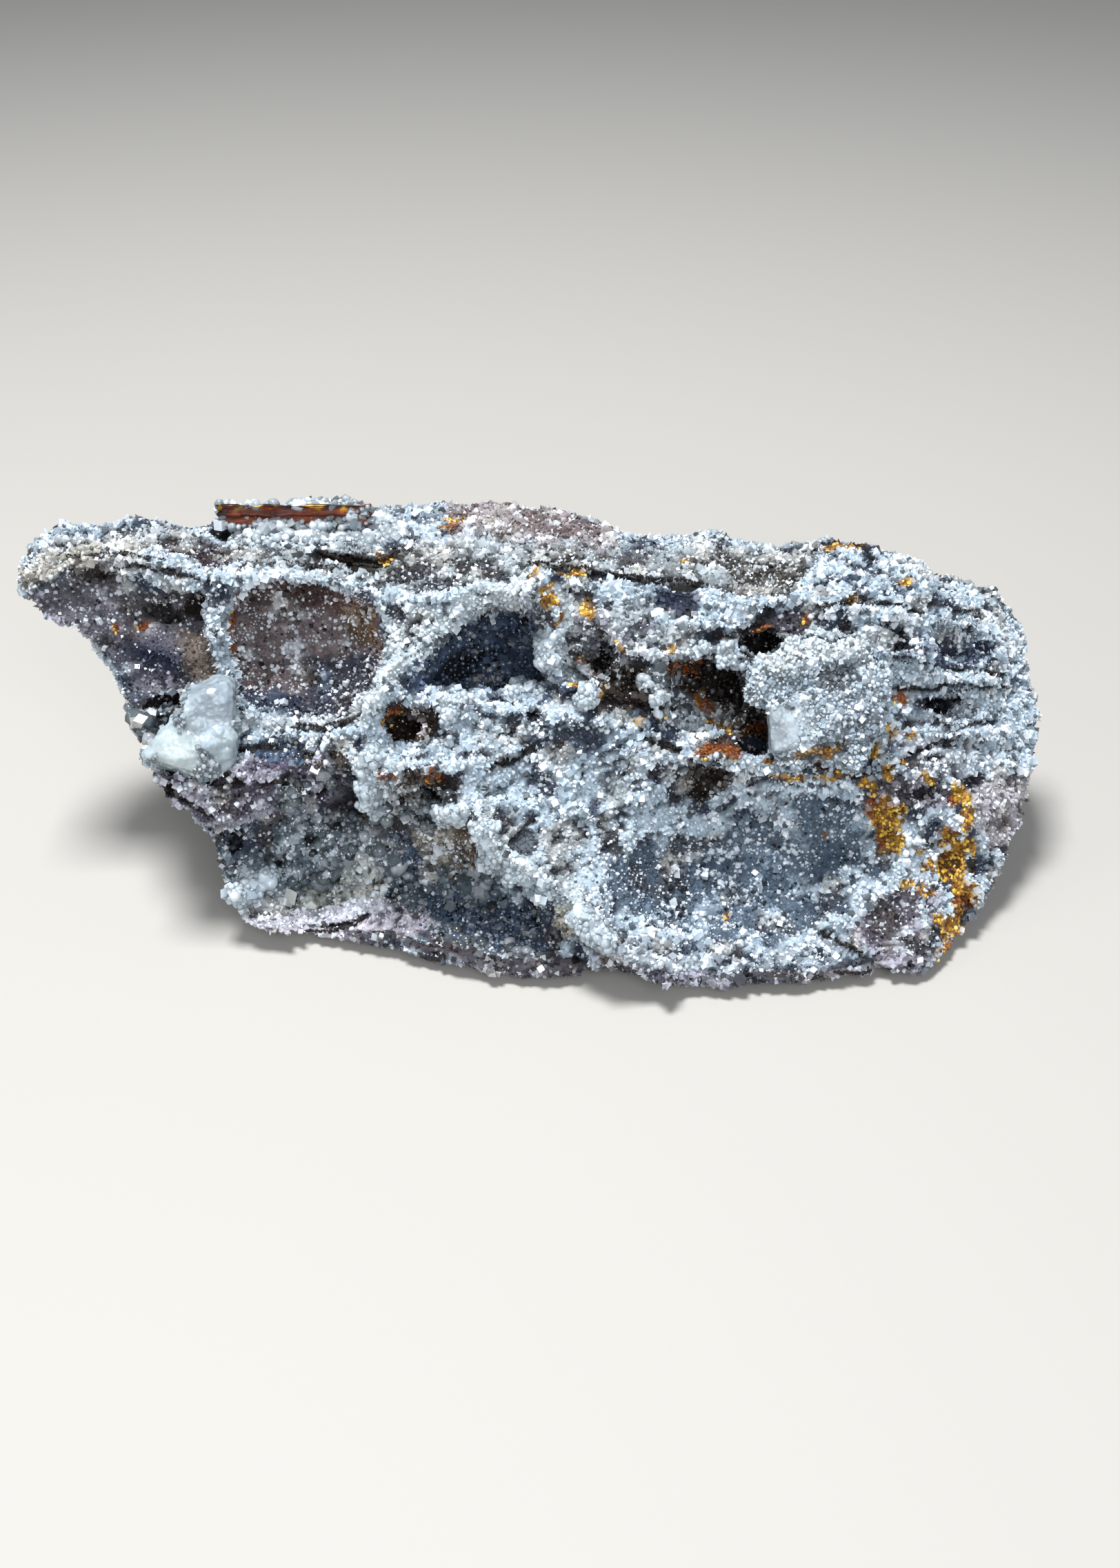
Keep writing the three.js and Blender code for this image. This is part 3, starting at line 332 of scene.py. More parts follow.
# Holes broken in the face: middle, half sizes, turn in degrees, depth in millimetres, ground colour.
HOLES = [
    (318, 768, 14, 8, 0, 0.7, FISSURE_BLACK), (240, 890, 34, 7, -4, 1.2, BROWN_BLACK),
    (286, 880, 16, 12, 0, 1.0, (40, 28, 24)),
    (238, 1020, 36, 11, 10, 1.8, BROWN_BLACK), (510, 808, 36, 5, -5, 1.0, BROWN_BLACK),
    (1105, 931, 30, 11, 3, 1.6, BROWN_BLACK), (1228, 914, 11, 7, 0, 1.0, (50, 46, 50)),
    (1092, 1042, 20, 14, 0, 1.2, BROWN_BLACK), (776, 1030, 7, 12, 0, 1.0, BLUE_BLACK),
    (734, 1066, 12, 5, 0, 1.0, BLUE_BLACK), (722, 1010, 10, 8, 0, 0.7, (50, 60, 80)),
    (604, 1050, 38, 15, 4, 0.8, (70, 58, 52)),
    (1028, 1134, 28, 14, 22, 1.0, BROWN_BLACK), (762, 1214, 16, 20, -20, 0.5, (106, 114, 124)),
    (238, 1153, 10, 7, 0, 1.0, BROWN_BLACK), (453, 1222, 11, 5, 30, 1.0, BLUE_BLACK),
    (450, 1192, 4, 10, 0, 0.9, BLUE_BLACK),
    (400, 1248, 16, 5, 8, 0.9, FISSURE_BLACK), (487, 1279, 10, 7, 30, 0.9, FISSURE_BLACK),
    (567, 1297, 9, 7, 0, 0.7, BLUE_BLACK), (542, 1281, 7, 5, 0, 0.6, BLUE_BLACK),
    (342, 1224, 12, 10, 0, 1.0, BLUE_BLACK), (662, 1320, 8, 22, -36, 1.0, FISSURE_BLACK),
    (1308, 932, 12, 6, 0, 0.9, BLUE_BLACK), (1400, 948, 34, 4, -14, 0.5, (56, 66, 88)),
    (1356, 1020, 26, 8, -5, 0.8, BLUE_BLACK), (1300, 911, 20, 6, 0, 0.7, BLUE_BLACK),
    (912, 992, 22, 14, -20, 1.0, BROWN_BLACK), (1052, 1000, 26, 14, -30, 0.8, BROWN_BLACK),
    (1214, 983, 20, 12, -20, 0.9, (88, 90, 96)), (1379, 1252, 16, 14, 0, 1.3, (60, 38, 10)),
    (1190, 1092, 26, 8, -4, 0.8, (52, 40, 30)), (1246, 1080, 14, 6, 0, 0.6, (50, 52, 60)),
    (690, 955, 60, 20, 22, 0.6, BLUE_BLACK), (840, 1012, 26, 7, -30, 0.6, BLUE_BLACK),
    (1166, 1014, 6, 12, 0, 0.7, (40, 40, 44)), (984, 868, 26, 11, 0, 0.4, (60, 68, 90)),
    (420, 1140, 12, 6, 0, 0.6, BROWN_BLACK), (340, 1136, 18, 6, 12, 0.8, BROWN_BLACK),
    (470, 1130, 9, 14, 10, 0.6, (44, 34, 34)), (1438, 936, 20, 7, 0, 0.7, (50, 62, 86)),
    (1344, 1150, 24, 8, 10, 0.7, (44, 42, 50)), (1420, 1130, 24, 6, 25, 0.6, (44, 44, 54)),
    (1404, 1312, 10, 14, 20, 0.8, (70, 40, 14)), (1390, 1304, 6, 8, 0, 0.6, (70, 40, 14)),
    (1306, 1180, 8, 9, 0, 0.8, (64, 40, 14)), (1284, 1212, 9, 7, 0, 0.7, (64, 40, 14)),
    (1412, 1256, 8, 9, 0, 0.7, (64, 44, 16)), (1104, 1014, 12, 9, -30, 0.7, (44, 38, 38)),
]

# Black fissures between the rock's layers: line, half width, depth in millimetres.
FISSURES = [
    ([(136, 936), (150, 926), (168, 938)], 2.2, 0.7),
    ([(463, 799), (490, 808), (520, 820), (548, 822)], 4.2, 1.0),
    ([(500, 806), (530, 810), (556, 810), (580, 801)], 3.6, 1.0),
    ([(412, 813), (450, 818), (490, 821)], 1.8, 0.5),
    ([(765, 813), (830, 822), (900, 832), (960, 840), (1026, 846)], 2.6, 0.8),
    ([(1176, 802), (1184, 788), (1206, 779), (1240, 779), (1262, 788), (1270, 802)], 2.2, 0.4),
    ([(1034, 923), (1075, 917), (1100, 906), (1119, 885)], 2.0, 0.8),
    ([(714, 1112), (742, 1104), (771, 1086)], 2.2, 0.8),
    ([(244, 1122), (290, 1098), (340, 1086), (405, 1079)], 1.8, 0.7),
    ([(430, 1050), (465, 1054), (502, 1046)], 2.6, 0.8),
    ([(443, 1348), (473, 1349), (512, 1342), (532, 1328)], 3.2, 1.0),
    ([(1300, 1001), (1380, 1003), (1462, 997)], 1.5, 0.5),
    ([(1186, 880), (1240, 868), (1290, 872), (1340, 890)], 2.2, 0.7),
    ([(1240, 1128), (1290, 1116), (1330, 1090), (1390, 1070)], 1.6, 0.6),
    ([(300, 1184), (260, 1160), (232, 1140)], 2.4, 0.8),
    ([(320, 1146), (300, 1130)], 2.4, 0.8),
    ([(380, 1140), (420, 1128)], 2.6, 0.8),
    ([(486, 1132), (470, 1150)], 2.4, 0.8),
    ([(884, 1012), (920, 1020), (980, 1028)], 3.0, 0.8),
    ([(938, 1072), (985, 1086)], 2.8, 0.8),
    ([(742, 1220), (776, 1184)], 1.8, 0.6),
    ([(1190, 1350), (1250, 1384)], 2.4, 0.7),
    ([(1210, 1410), (1290, 1408), (1352, 1398)], 3.0, 0.9),
    ([(1330, 870), (1400, 884), (1440, 880)], 1.3, 0.4),
    ([(1300, 960), (1380, 966), (1466, 976)], 1.4, 0.5),
    ([(1310, 1046), (1380, 1052), (1450, 1044)], 1.3, 0.4),
    ([(160, 822), (220, 824), (300, 842)], 2.0, 0.5),
    ([(96, 806), (180, 800), (240, 812)], 1.8, 0.5),
]

# Limonite and rust stains: middle, half sizes, turn, yellow or rust.
STAINS = [
    (1290, 1192, 26, 34, 15, "yellow"), (1298, 1216, 20, 14, 0, "yellow"),
    (1386, 1240, 26, 36, -20, "yellow"),
    (1404, 1290, 18, 22, 0, "yellow"), (1388, 1342, 14, 20, 0, "yellow"), (1366, 1330, 7, 8, 0, "yellow"),
    (1340, 1290, 20, 8, -20, "yellow"), (1176, 1095, 26, 6, -6, "yellow"),
    (1150, 1131, 34, 5, -4, "yellow"),
    (1200, 1133, 14, 6, 0, "yellow"), (1046, 1048, 26, 5, -9, "yellow"), (1008, 1020, 5, 16, -30, "yellow"),
    (1272, 1088, 9, 12, 0, "yellow"), (1296, 1062, 7, 12, 0, "yellow"), (1262, 1056, 9, 5, 0, "yellow"),
    (1316, 1100, 7, 6, 0, "yellow"), (1290, 1118, 10, 10, 0, "yellow"), (1350, 1130, 20, 6, -30, "yellow"),
    (1400, 1150, 14, 16, 20, "yellow"), (1408, 1190, 12, 20, 0, "yellow"), (776, 822, 7, 8, 0, "yellow"),
    (830, 826, 24, 4, 6, "yellow"), (797, 866, 10, 12, 20, "yellow"), (852, 884, 14, 12, 0, "yellow"),
    (830, 972, 6, 14, -30, "yellow"), (872, 1000, 10, 8, 0, "yellow"), (894, 938, 6, 7, 0, "yellow"),
    (976, 942, 8, 5, 0, "yellow"), (966, 1036, 6, 8, 0, "yellow"), (926, 1042, 6, 5, 0, "yellow"),
    (995, 808, 6, 4, 0, "yellow"), (668, 747, 16, 5, -10, "yellow"), (560, 801, 16, 3.5, -12, "yellow"),
    (1060, 1322, 5, 5, 0, "yellow"), (1222, 785, 40, 5, 0, "yellow"), (1314, 838, 10, 4, 0, "yellow"),
    (1268, 1150, 8, 14, 10, "yellow"), (1330, 1236, 16, 6, -20, "yellow"), (1244, 862, 6, 4, 0, "yellow"),
    (770, 838, 5, 14, -20, "yellow"), (800, 852, 12, 6, 30, "yellow"), (838, 980, 7, 12, -35, "yellow"),
    (852, 996, 12, 6, 0, "yellow"), (1120, 1106, 20, 6, -8, "yellow"),
    (1230, 1120, 14, 8, 20, "yellow"), (1256, 1140, 10, 12, 0, "yellow"), (1214, 1088, 10, 6, 0, "yellow"),
    (1324, 1066, 6, 8, 0, "yellow"), (1350, 1250, 12, 8, 40, "yellow"), (1320, 1280, 10, 6, 0, "yellow"),
    (1416, 1230, 8, 16, 0, "yellow"), (1372, 1380, 9, 8, 0, "yellow"), (1398, 1322, 10, 14, 0, "yellow"),
    (1280, 1180, 30, 20, 0, "rust"), (1400, 1310, 14, 20, 0, "rust"), (1380, 1210, 14, 14, 0, "rust"),
    (1100, 1060, 16, 8, 0, "rust"), (812, 900, 10, 8, 0, "rust"), (1020, 1016, 20, 10, -20, "rust"),
    (1040, 1079, 34, 12, 4, "rust"), (1064, 1092, 14, 12, 0, "rust"), (1000, 972, 30, 12, 10, "rust"),
    (844, 962, 10, 8, 0, "rust"),
    (850, 984, 16, 10, 20, "rust"), (346, 905, 8, 22, 4, "rust"), (345, 940, 7, 7, 0, "rust"),
    (166, 910, 7, 8, 0, "rust"), (206, 906, 9, 5, 0, "rust"), (575, 1042, 14, 12, 0, "rust"),
    (1310, 1012, 10, 9, 0, "rust"), (1280, 1210, 10, 28, 0, "rust"), (1390, 1366, 14, 12, 0, "rust"),
    (1200, 1108, 20, 7, 0, "rust"), (656, 756, 12, 5, 0, "rust"), (1110, 910, 7, 10, -30, "rust"),
    (560, 1134, 16, 10, 0, "rust"), (620, 1130, 22, 9, 0, "rust"), (800, 880, 16, 8, 0, "rust"),
    (1200, 1212, 4, 3, 0, "rust"), (1240, 1092, 18, 6, 0, "rust"),
    (1386, 1164, 7, 10, 0, "rust"), (1170, 895, 6, 10, 0, "rust"),
]


def new_object(name, data):
    """An object of that name in the scene."""
    made = bpy.data.objects.new(name, data)
    bpy.context.scene.collection.objects.link(made)
    return made


def copy_of(node, name):
    """An object with a copy of a CAD node's mesh, its loose triangles joined."""
    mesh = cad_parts[node].data.copy()
    mesh.materials.clear()
    shape = bmesh.new()
    shape.from_mesh(mesh)
    bmesh.ops.remove_doubles(shape, verts=shape.verts, dist=1e-6)
    shape.to_mesh(mesh)
    shape.free()
    mesh.name = name
    return new_object(name, mesh)


def settle(made):
    """Makes what an object's modifiers show its own plain mesh."""
    graph = bpy.context.evaluated_depsgraph_get()
    mesh = bpy.data.meshes.new_from_object(made.evaluated_get(graph))
    made.modifiers.clear()
    old = made.data
    made.data = mesh
    bpy.data.meshes.remove(old)
    mesh.name = made.name


def reskin(made, voxel):
    """Covers an object with an even skin of that mesh size in millimetres."""
    skin = made.modifiers.new("skin", "REMESH")
    skin.mode = "VOXEL"
    skin.voxel_size = voxel * MM
    skin.adaptivity = 0.0
    settle(made)


def read_points(mesh):
    """A mesh's vertices in millimetres."""
    flat = np.empty(len(mesh.vertices) * 3, np.float32)
    mesh.vertices.foreach_get("co", flat)
    return flat.reshape(-1, 3).astype(float) / MM


def write_points(mesh, points):
    mesh.vertices.foreach_set("co", (points * MM).astype(np.float32).ravel())
    mesh.update()


def read_normals(mesh):
    flat = np.empty(len(mesh.vertices) * 3, np.float32)
    mesh.vertex_normals.foreach_get("vector", flat)
    return flat.reshape(-1, 3).astype(float)


def relax(values, edges, rounds, share=0.5):
    """Evens out values over the mesh: each goes part of the way to the mean of its neighbours."""
    columns = values if values.ndim == 2 else values[:, None]
    count = np.bincount(edges.ravel(), minlength=len(values)).astype(float)
    count[count == 0] = 1
    for _ in range(rounds):
        mean = np.empty_like(columns)
        for k in range(columns.shape[1]):
            total = np.bincount(edges[:, 0], columns[edges[:, 1], k], len(values))
            total += np.bincount(edges[:, 1], columns[edges[:, 0], k], len(values))
            mean[:, k] = total / count
        columns = columns + share * (mean - columns)
    return columns if values.ndim == 2 else columns[:, 0]


def read_edges(mesh):
    flat = np.empty(len(mesh.edges) * 2, np.int32)
    mesh.edges.foreach_get("vertices", flat)
    return flat.reshape(-1, 2)


def relax_mesh(mesh, rounds):
    """Evens out a mesh's vertices, and gives them in millimetres."""
    points = relax(read_points(mesh), read_edges(mesh), rounds)
    write_points(mesh, points)
    return points


SLOPES = np.array([
    [1, 1, 0], [-1, 1, 0], [1, -1, 0], [-1, -1, 0], [1, 0, 1], [-1, 0, 1],
    [1, 0, -1], [-1, 0, -1], [0, 1, 1], [0, -1, 1], [0, 1, -1], [0, -1, -1]], float)


def roughness(points, size, seed):
    """Smooth random relief from about -1 to 1, with lumps of that size in millimetres. Each corner of
    a lattice gets one of twelve slopes, picked by mixing its place and the seed with large numbers."""
    scaled = points / size + 31.7 * seed
    corner = np.floor(scaled).astype(np.int64)
    inside = scaled - corner
    fade = inside ** 3 * (inside * (inside * 6 - 15) + 10)
    total = np.zeros(len(points))
    for step in np.ndindex(2, 2, 2):
        at = corner + np.array(step)
        mark = at[:, 0] * 73856093 ^ at[:, 1] * 19349663 ^ at[:, 2] * 83492791 ^ seed * 2654435761
        mark = (mark ^ (mark >> 13)) * 1274126177
        mark = (mark ^ (mark >> 16)) & 0x7FFFFFFF
        slope = SLOPES[mark % len(SLOPES)]
        offset = inside - np.array(step)
        weight = np.prod(np.where(np.array(step), fade, 1 - fade), axis=1)
        total += weight * (slope * offset).sum(axis=1)
    return total


def ease(values, low, high):
    """0 below low, 1 above high, and a smooth step between them."""
    share = np.clip((values - low) / (high - low), 0, 1)
    return share * share * (3 - 2 * share)


def linear(colour):
    """An sRGB colour of 0 to 255 as linear values."""
    share = np.array(colour, float) / 255
    return np.where(share <= 0.04045, share / 12.92, ((share + 0.055) / 1.055) ** 2.4)


def blend(values, share, target):
    """Moves the values themselves towards a target, each by its own share of the way."""
    values += (share if values.ndim == 1 else share[:, None]) * (target - values)


def tinted(colour, count):
    """One sRGB colour for each of so many vertices."""
    return np.tile(linear(colour), (count, 1))


def as_drawn(points):
    """Where points lie on the drawing of the face: across and down in its units, and out in mm."""
    offset = points - FACE_MIDDLE
    out = offset @ TOWARDS_VIEWER
    nearer = 1 - out / VIEW_DISTANCE
    u = DRAWN_MIDDLE[0] + DRAWN_SCALE * offset[:, 0] / nearer
    v = DRAWN_MIDDLE[1] - DRAWN_SCALE * (offset @ UP_THE_FACE) / nearer
    return u, v, out


def line_gap(u, v, line):
    """The distance from each drawn place to a line of drawn places."""
    nearest = np.full(len(u), np.inf)
    for (u0, v0), (u1, v1) in zip(line, line[1:]):
        run = (u1 - u0) ** 2 + (v1 - v0) ** 2
        share = np.clip(((u - u0) * (u1 - u0) + (v - v0) * (v1 - v0)) / run, 0, 1)
        nearest = np.minimum(nearest, np.hypot(u - u0 - share * (u1 - u0), v - v0 - share * (v1 - v0)))
    return nearest


def field_share(u, v, outline, softness):
    """1 well inside a drawn outline, 0 well outside it."""
    inside = np.zeros(len(u), bool)
    for (u0, v0), (u1, v1) in zip(outline, outline[1:] + outline[:1]):
        if v0 != v1:
            crosses = ((v0 > v) != (v1 > v)) & (u < (u1 - u0) * (v - v0) / (v1 - v0) + u0)
            inside ^= crosses
    gap = line_gap(u, v, outline + outline[:1])
    return ease(np.where(inside, gap, -gap), -softness, softness)


def spot_share(u, v, at_u, at_v, half_u, half_v, turn):
    """How far inside a drawn oval each place is: 1 in its middle, 0 on its edge, below 0 outside."""
    angle = math.radians(turn)
    du = u - at_u
    dv = at_v - v
    along = (du * math.cos(angle) + dv * math.sin(angle)) / half_u
    beside = (dv * math.cos(angle) - du * math.sin(angle)) / half_v
    return 1 - np.hypot(along, beside)


# The worn place is closed, thin feet are thickened, and the whole gets an even skin.
rock = copy_of("rock", "crusted_rock")
shape = bmesh.new()
shape.from_mesh(rock.data)
for corner in bmesh.ops.create_cube(shape, size=1.0)["verts"]:
    for axis in range(3):
        lowest, highest = WORN_THROUGH[0][axis], WORN_THROUGH[1][axis]
        corner.co[axis] = ((lowest + highest) / 2 + corner.co[axis] * (highest - lowest)) * MM
shape.to_mesh(rock.data)
shape.free()
points = read_points(rock.data)
normals = read_normals(rock.data)
thin = (points[:, 2] > 0.05) & (points[:, 2] < FOOT_THICKNESS) & (normals @ TOWARDS_VIEWER > -0.3)
points[thin, 2] = FOOT_THICKNESS
write_points(rock.data, points)
reskin(rock, ROCK_VOXEL)
edges = read_edges(rock.data)
points = relax_mesh(rock.data, 5)
normals = read_normals(rock.data)
u, v, out = as_drawn(points)
over_knob = np.maximum(KNOB_TOP - v, 0) * ease(u, 1150, 1175) * ease(-u, -1300, -1275)
points[:, 2] -= 0.85 * over_knob / DRAWN_SCALE
write_points(rock.data, points)
first_height = points[:, 2].copy()
underside = normals[:, 2] < -0.25
u, v, out = as_drawn(points)

# The side that is seen from the front: what faces the viewer and isn't far behind what is in front of it.
bin_u = np.clip(((u - BIN_START[0]) / BIN_SIZE).astype(int), 0, BIN_COUNT[0] - 1)
bin_v = np.clip(((v - BIN_START[1]) / BIN_SIZE).astype(int), 0, BIN_COUNT[1] - 1)
nearest_out = np.full(BIN_COUNT, -np.inf)
np.maximum.at(nearest_out, (bin_u, bin_v), out)
behind = nearest_out[bin_u, bin_v] - out
facing = normals @ TOWARDS_VIEWER
front = ease(facing, -0.35, 0.05) * ease(-behind, -FRONT_DEPTH - 3, -FRONT_DEPTH)
front = relax(front, edges, 4)
# The drawn places swayed to and fro, so that no drawn edge is straight.
sway_u = u + 9 * roughness(points, 2.6, 1) + 4 * roughness(points, 1.0, 2)
sway_v = v + 9 * roughness(points, 2.6, 3) + 4 * roughness(points, 1.0, 4)

# Ground colours and share of crust. Away from the drawn face they follow the rock's own layers.
layer = (points[:, 2] + 0.12 * points[:, 0] + 1.6 * roughness(points, 9.0, 5)) / LAYER_THICKNESS
layer_share = layer - np.floor(layer)
patch = roughness(points, 11.0, 6) + 0.5 * roughness(points, 4.5, 7)
dark = tinted((62, 68, 80), len(points))
pale = tinted(GREY_WHITE, len(points))
mauve = ease(patch, 0.05, 0.3)
blend(dark, mauve, linear((92, 78, 86)))
blend(pale, mauve, linear(MAUVE_WHITE))
blend(dark, ease(-patch, 0.25, 0.45), linear((88, 66, 46)))
# A number of 0 to 1 for each layer, as if drawn by lot: some are bare, some thickly grown.
band = np.sin(np.floor(layer) * 12.9898) * 43758.5453
band -= np.floor(band)
blend(dark, 0.6 * ease(-band, -0.45, -0.25), linear((86, 82, 84)))
cover = 0.20 + 0.62 * ease(band, 0.2, 0.6) + 0.45 * roughness(points, 7.0, 8)
cover -= 0.3 * ease(np.abs(layer_share - 0.5), 0.42, 0.5)
knobs = 0.35 + 0.6 * roughness(points, 6.0, 26)
sparkle = np.full(len(points), 0.18)

front_dark = tinted((64, 78, 98), len(points))
front_pale = tinted(BLUE_WHITE, len(points))
front_cover = np.full(len(points), 0.66)
front_knobs = np.full(len(points), 0.3)
front_sparkle = np.full(len(points), 0.35)
for outline, softness, ground, crust, share, knob, bright in FIELDS:
    weight = field_share(sway_u, sway_v, outline, softness)
    blend(front_dark, weight, linear(ground))
    blend(front_pale, weight, linear(crust))
    blend(front_cover, weight, share)
    blend(front_knobs, weight, knob)
    blend(front_sparkle, weight, bright)
warm = 0.6 * ease(roughness(points, 4.6, 24) + 0.5 * roughness(points, 1.8, 25), 0.10, 0.34)
blend(front_pale, warm, linear((208, 204, 196)))
blend(front_dark, warm, linear((66, 56, 50)))
lift = np.zeros(len(points))
crest = np.zeros(len(points))
cracked = np.zeros(len(points))
hollowed = np.zeros(len(points))
for line, half, rise, crust, share in RIDGES:
    gap = line_gap(sway_u, sway_v, line) / half
    weight = ease(-gap, -1.5, -0.6)
    blend(front_pale, weight, linear(crust))
    blend(front_cover, weight, share)
    blend(front_sparkle, 0.8 * weight, 0.6)
    crest = np.maximum(crest, weight)
    lift += 1.2 * rise * np.exp(-gap * gap)
for at_u, at_v, half_u, half_v, turn, depth, ground in HOLES:
    share = spot_share(0.5 * (u + sway_u), 0.5 * (v + sway_v), at_u, at_v, half_u, half_v, turn)
    weight = ease(share, -0.15, 0.2)
    blend(front_dark, weight, linear(ground))
    front_cover -= weight * front_cover * 0.92
    front_sparkle -= weight * front_sparkle * 0.6
    lift -= depth * 1.1 * ease(share, -0.1, 0.7)
    hollowed = np.maximum(hollowed, weight)
for line, half, depth in FISSURES:
    gap = line_gap(u + 0.25 * (sway_u - u), v + 0.25 * (sway_v - v), line)
    weight = ease(-gap, -half - 3.0, -half + 1)
    blend(front_dark, weight, linear(FISSURE_BLACK))
    front_cover -= weight * front_cover
    front_sparkle -= weight * front_sparkle
    cracked = np.maximum(cracked, ease(-gap, -half - 1.5, -half + 1))
    lift -= 0.7 * depth * weight

# Short black gaps between the thin layers, most of them in the rough right end.
streak = roughness(np.column_stack([u / 34 + v / 120, v / 8.5, out / 6]), 1.0, 9)
right_end = ease(u, 1180, 1320) * ease(-v, -1180, -1080)
left_top = ease(-v, -850, -815) * ease(-u, -620, -500)
gaps = ease(streak, 0.44, 0.54) * np.maximum(0.9 * right_end, 0.7 * left_top)
blend(front_dark, gaps, linear((28, 32, 44)))
front_cover -= gaps * front_cover * 0.9
lift -= 0.5 * gaps

blend(dark, front, front_dark)
blend(pale, front, front_pale)
blend(cover, front, front_cover)
blend(knobs, front, front_knobs)
blend(sparkle, front, front_sparkle)
sparkle = np.clip(sparkle * (1 + 1.1 * roughness(points, 1.7, 10)), 0, 1)

# The lace of white crust: where it has grown together it stands a little higher than the bare ground.
lace = 0.62 * roughness(points, 2.9, 11) + 0.42 * roughness(points, 1.25, 12)
lace_mark = np.sort(lace)
threshold = lace_mark[np.clip(((1 - cover) * (len(lace) - 1)).astype(int), 0, len(lace) - 1)]
white = ease(lace - threshold, -0.05, 0.09)
white = np.where(cover < 0.02, 0, white)

# Short pits in the crust, longer along the layers than across them, their colour darkened with painted shade.
speck_points = np.column_stack([u / 17 + v / 70, v / 8.5, out / 1.1])
pits_and_painted_shade = ease(roughness(speck_points, 1.0, 28) + 0.4 * roughness(speck_points, 3.5, 29), 0.30, 0.42)
pits_and_painted_shade *= 0.9 * front * white * (1 - 0.6 * crest)
white = white * (1 - pits_and_painted_shade)

# Rounded lumps, where crystals have grown together into groups, with seams between them whose colour is
# darkened with painted shade.
lumps = np.abs(roughness(points, 2.4, 13))
small_lumps = np.abs(roughness(points, 1.3, 14))
seams_and_painted_shade = np.maximum(1 - ease(lumps, 0.03, 0.15), 0.7 * (1 - ease(small_lumps, 0.02, 0.10)))
seams_and_painted_shade *= 1 - 0.65 * front * crest
relief = 0.42 * (white - 0.5) + (0.2 + 0.8 * knobs) * (1 - 0.4 * front * crest) * (
    1.7 * lumps + 0.9 * small_lumps - 0.75)
relief += 0.35 * roughness(points, 5.5, 15) - 0.4 * pits_and_painted_shade
ledge = np.where(layer_share < 0.75, layer_share / 0.75, (1 - layer_share) / 0.25) - 0.5
relief += (1 - front) * (1.1 + 0.5 * band) * ledge
points = points + (front * lift)[:, None] * TOWARDS_VIEWER
write_points(rock.data, points)
normals = read_normals(rock.data)
on_base = ease(-points[:, 2], -0.7, -0.25)
points = points + ((relief - CRUST_ROOM - CRUST_SLACK) * (1 - on_base))[:, None] * normals
points = relax(points, edges, 1, 0.35)
foot = np.minimum(first_height, 0.8 * FOOT_THICKNESS + 0.5 * roughness(points, 2.0, 20))
points[:, 2] = np.where(underside, points[:, 2], np.maximum(points[:, 2], foot))
low = np.array(cad_low) / MM
high = np.array(cad_high) / MM
points = np.clip(points, low + [BOX_MARGIN, BOX_MARGIN, 0.0], high - BOX_MARGIN)
write_points(rock.data, points)

# Yellow limonite and brown rust, crumbly stains with broken edges.
yellow = np.zeros(len(points))
rusty = np.zeros(len(points))
crumble = 0.5 * roughness(points, 1.1, 16) + 0.35 * roughness(points, 2.4, 17)
for at_u, at_v, half_u, half_v, turn, kind in STAINS:
    share = spot_share(u, v, at_u, at_v, half_u, half_v, turn)
    weight = ease(share + 1.25 * crumble, 0.02, 0.22) * (share > -0.8)
    if kind == "yellow":
        yellow = np.maximum(yellow, weight)
    else:
        rusty = np.maximum(rusty, weight)
near_the_front = front * ease(-behind, -3.5, -2.0)
yellow *= near_the_front
rusty *= near_the_front
tint = dark + white[:, None] * (pale - dark)
# Painted shade: the colour is darkened along the seams between the lumps, most on the white crust at the
# front.
blend(tint, 0.45 * seams_and_painted_shade * (0.25 + 0.75 * white) * (0.4 + 0.6 * front), 0.35 * dark)
# Painted shade: the pits are darkened to a blue-black.
blend(tint, 0.75 * pits_and_painted_shade, linear((34, 38, 48)))
blend(tint, 0.9 * rusty, linear(RUST))
yellow_share = (0.78 + 0.6 * roughness(points, 0.9, 18)) * (1 - 0.8 * hollowed)
blend(tint, 0.95 * yellow, linear(LIMONITE) * yellow_share[:, None])
blend(tint, 0.6 * (on_base * ease(roughness(points, 3.0, 19), -0.1, 0.2)), linear((150, 148, 146)))
sparkle *= 1 - 0.9 * rusty
tint = np.clip(tint, 0.0, 1.0)


def write_value(mesh, name, values):
    """Stores one number for each vertex, in place of any that it has."""
    stored = mesh.attributes.get(name) or mesh.attributes.new(name, "FLOAT", "POINT")
    stored.data.foreach_set("value", values.astype(np.float32))


def write_tint(mesh, colours):
    """Stores one colour for each vertex, in place of any that it has."""
    stored = mesh.attributes.get("tint") or mesh.attributes.new("tint", "FLOAT_COLOR", "POINT")
    whole = np.column_stack([colours, np.ones(len(colours))])
    stored.data.foreach_set("color", whole.astype(np.float32).ravel())


def smooth(mesh):
    for polygon in mesh.polygons:
        polygon.use_smooth = True


write_tint(rock.data, tint)
write_value(rock.data, "white", white)
write_value(rock.data, "sparkle", sparkle)
write_value(rock.data, "rust", rusty * (1 - yellow))
write_value(rock.data, "grain", np.clip(
    1 + 0.5 * roughness(points, 3.4, 22) + 0.3 * roughness(points, 9.0, 23), 0.7, 1.3))
smooth(rock.data)


def add(tree, kind, sockets=(), **settings):
    """A new node with its settings. Each socket named gets a value, or another node's output."""
    node = tree.nodes.new(kind)
    for name, value in settings.items():
        setattr(node, name, value)
    for name, value in dict(sockets).items():
        if isinstance(value, bpy.types.NodeSocket):
            tree.links.new(value, node.inputs[name])
        else:
            node.inputs[name].default_value = value
    return node


def stored_value(tree, name, part="Fac"):
    """What a mesh stores under that name, as a number or as a colour."""
    return add(tree, "ShaderNodeAttribute", attribute_name=name).outputs[part]


def object_place(tree):
    """Where a point lies on its piece."""
    return add(tree, "ShaderNodeTexCoord").outputs["Object"]


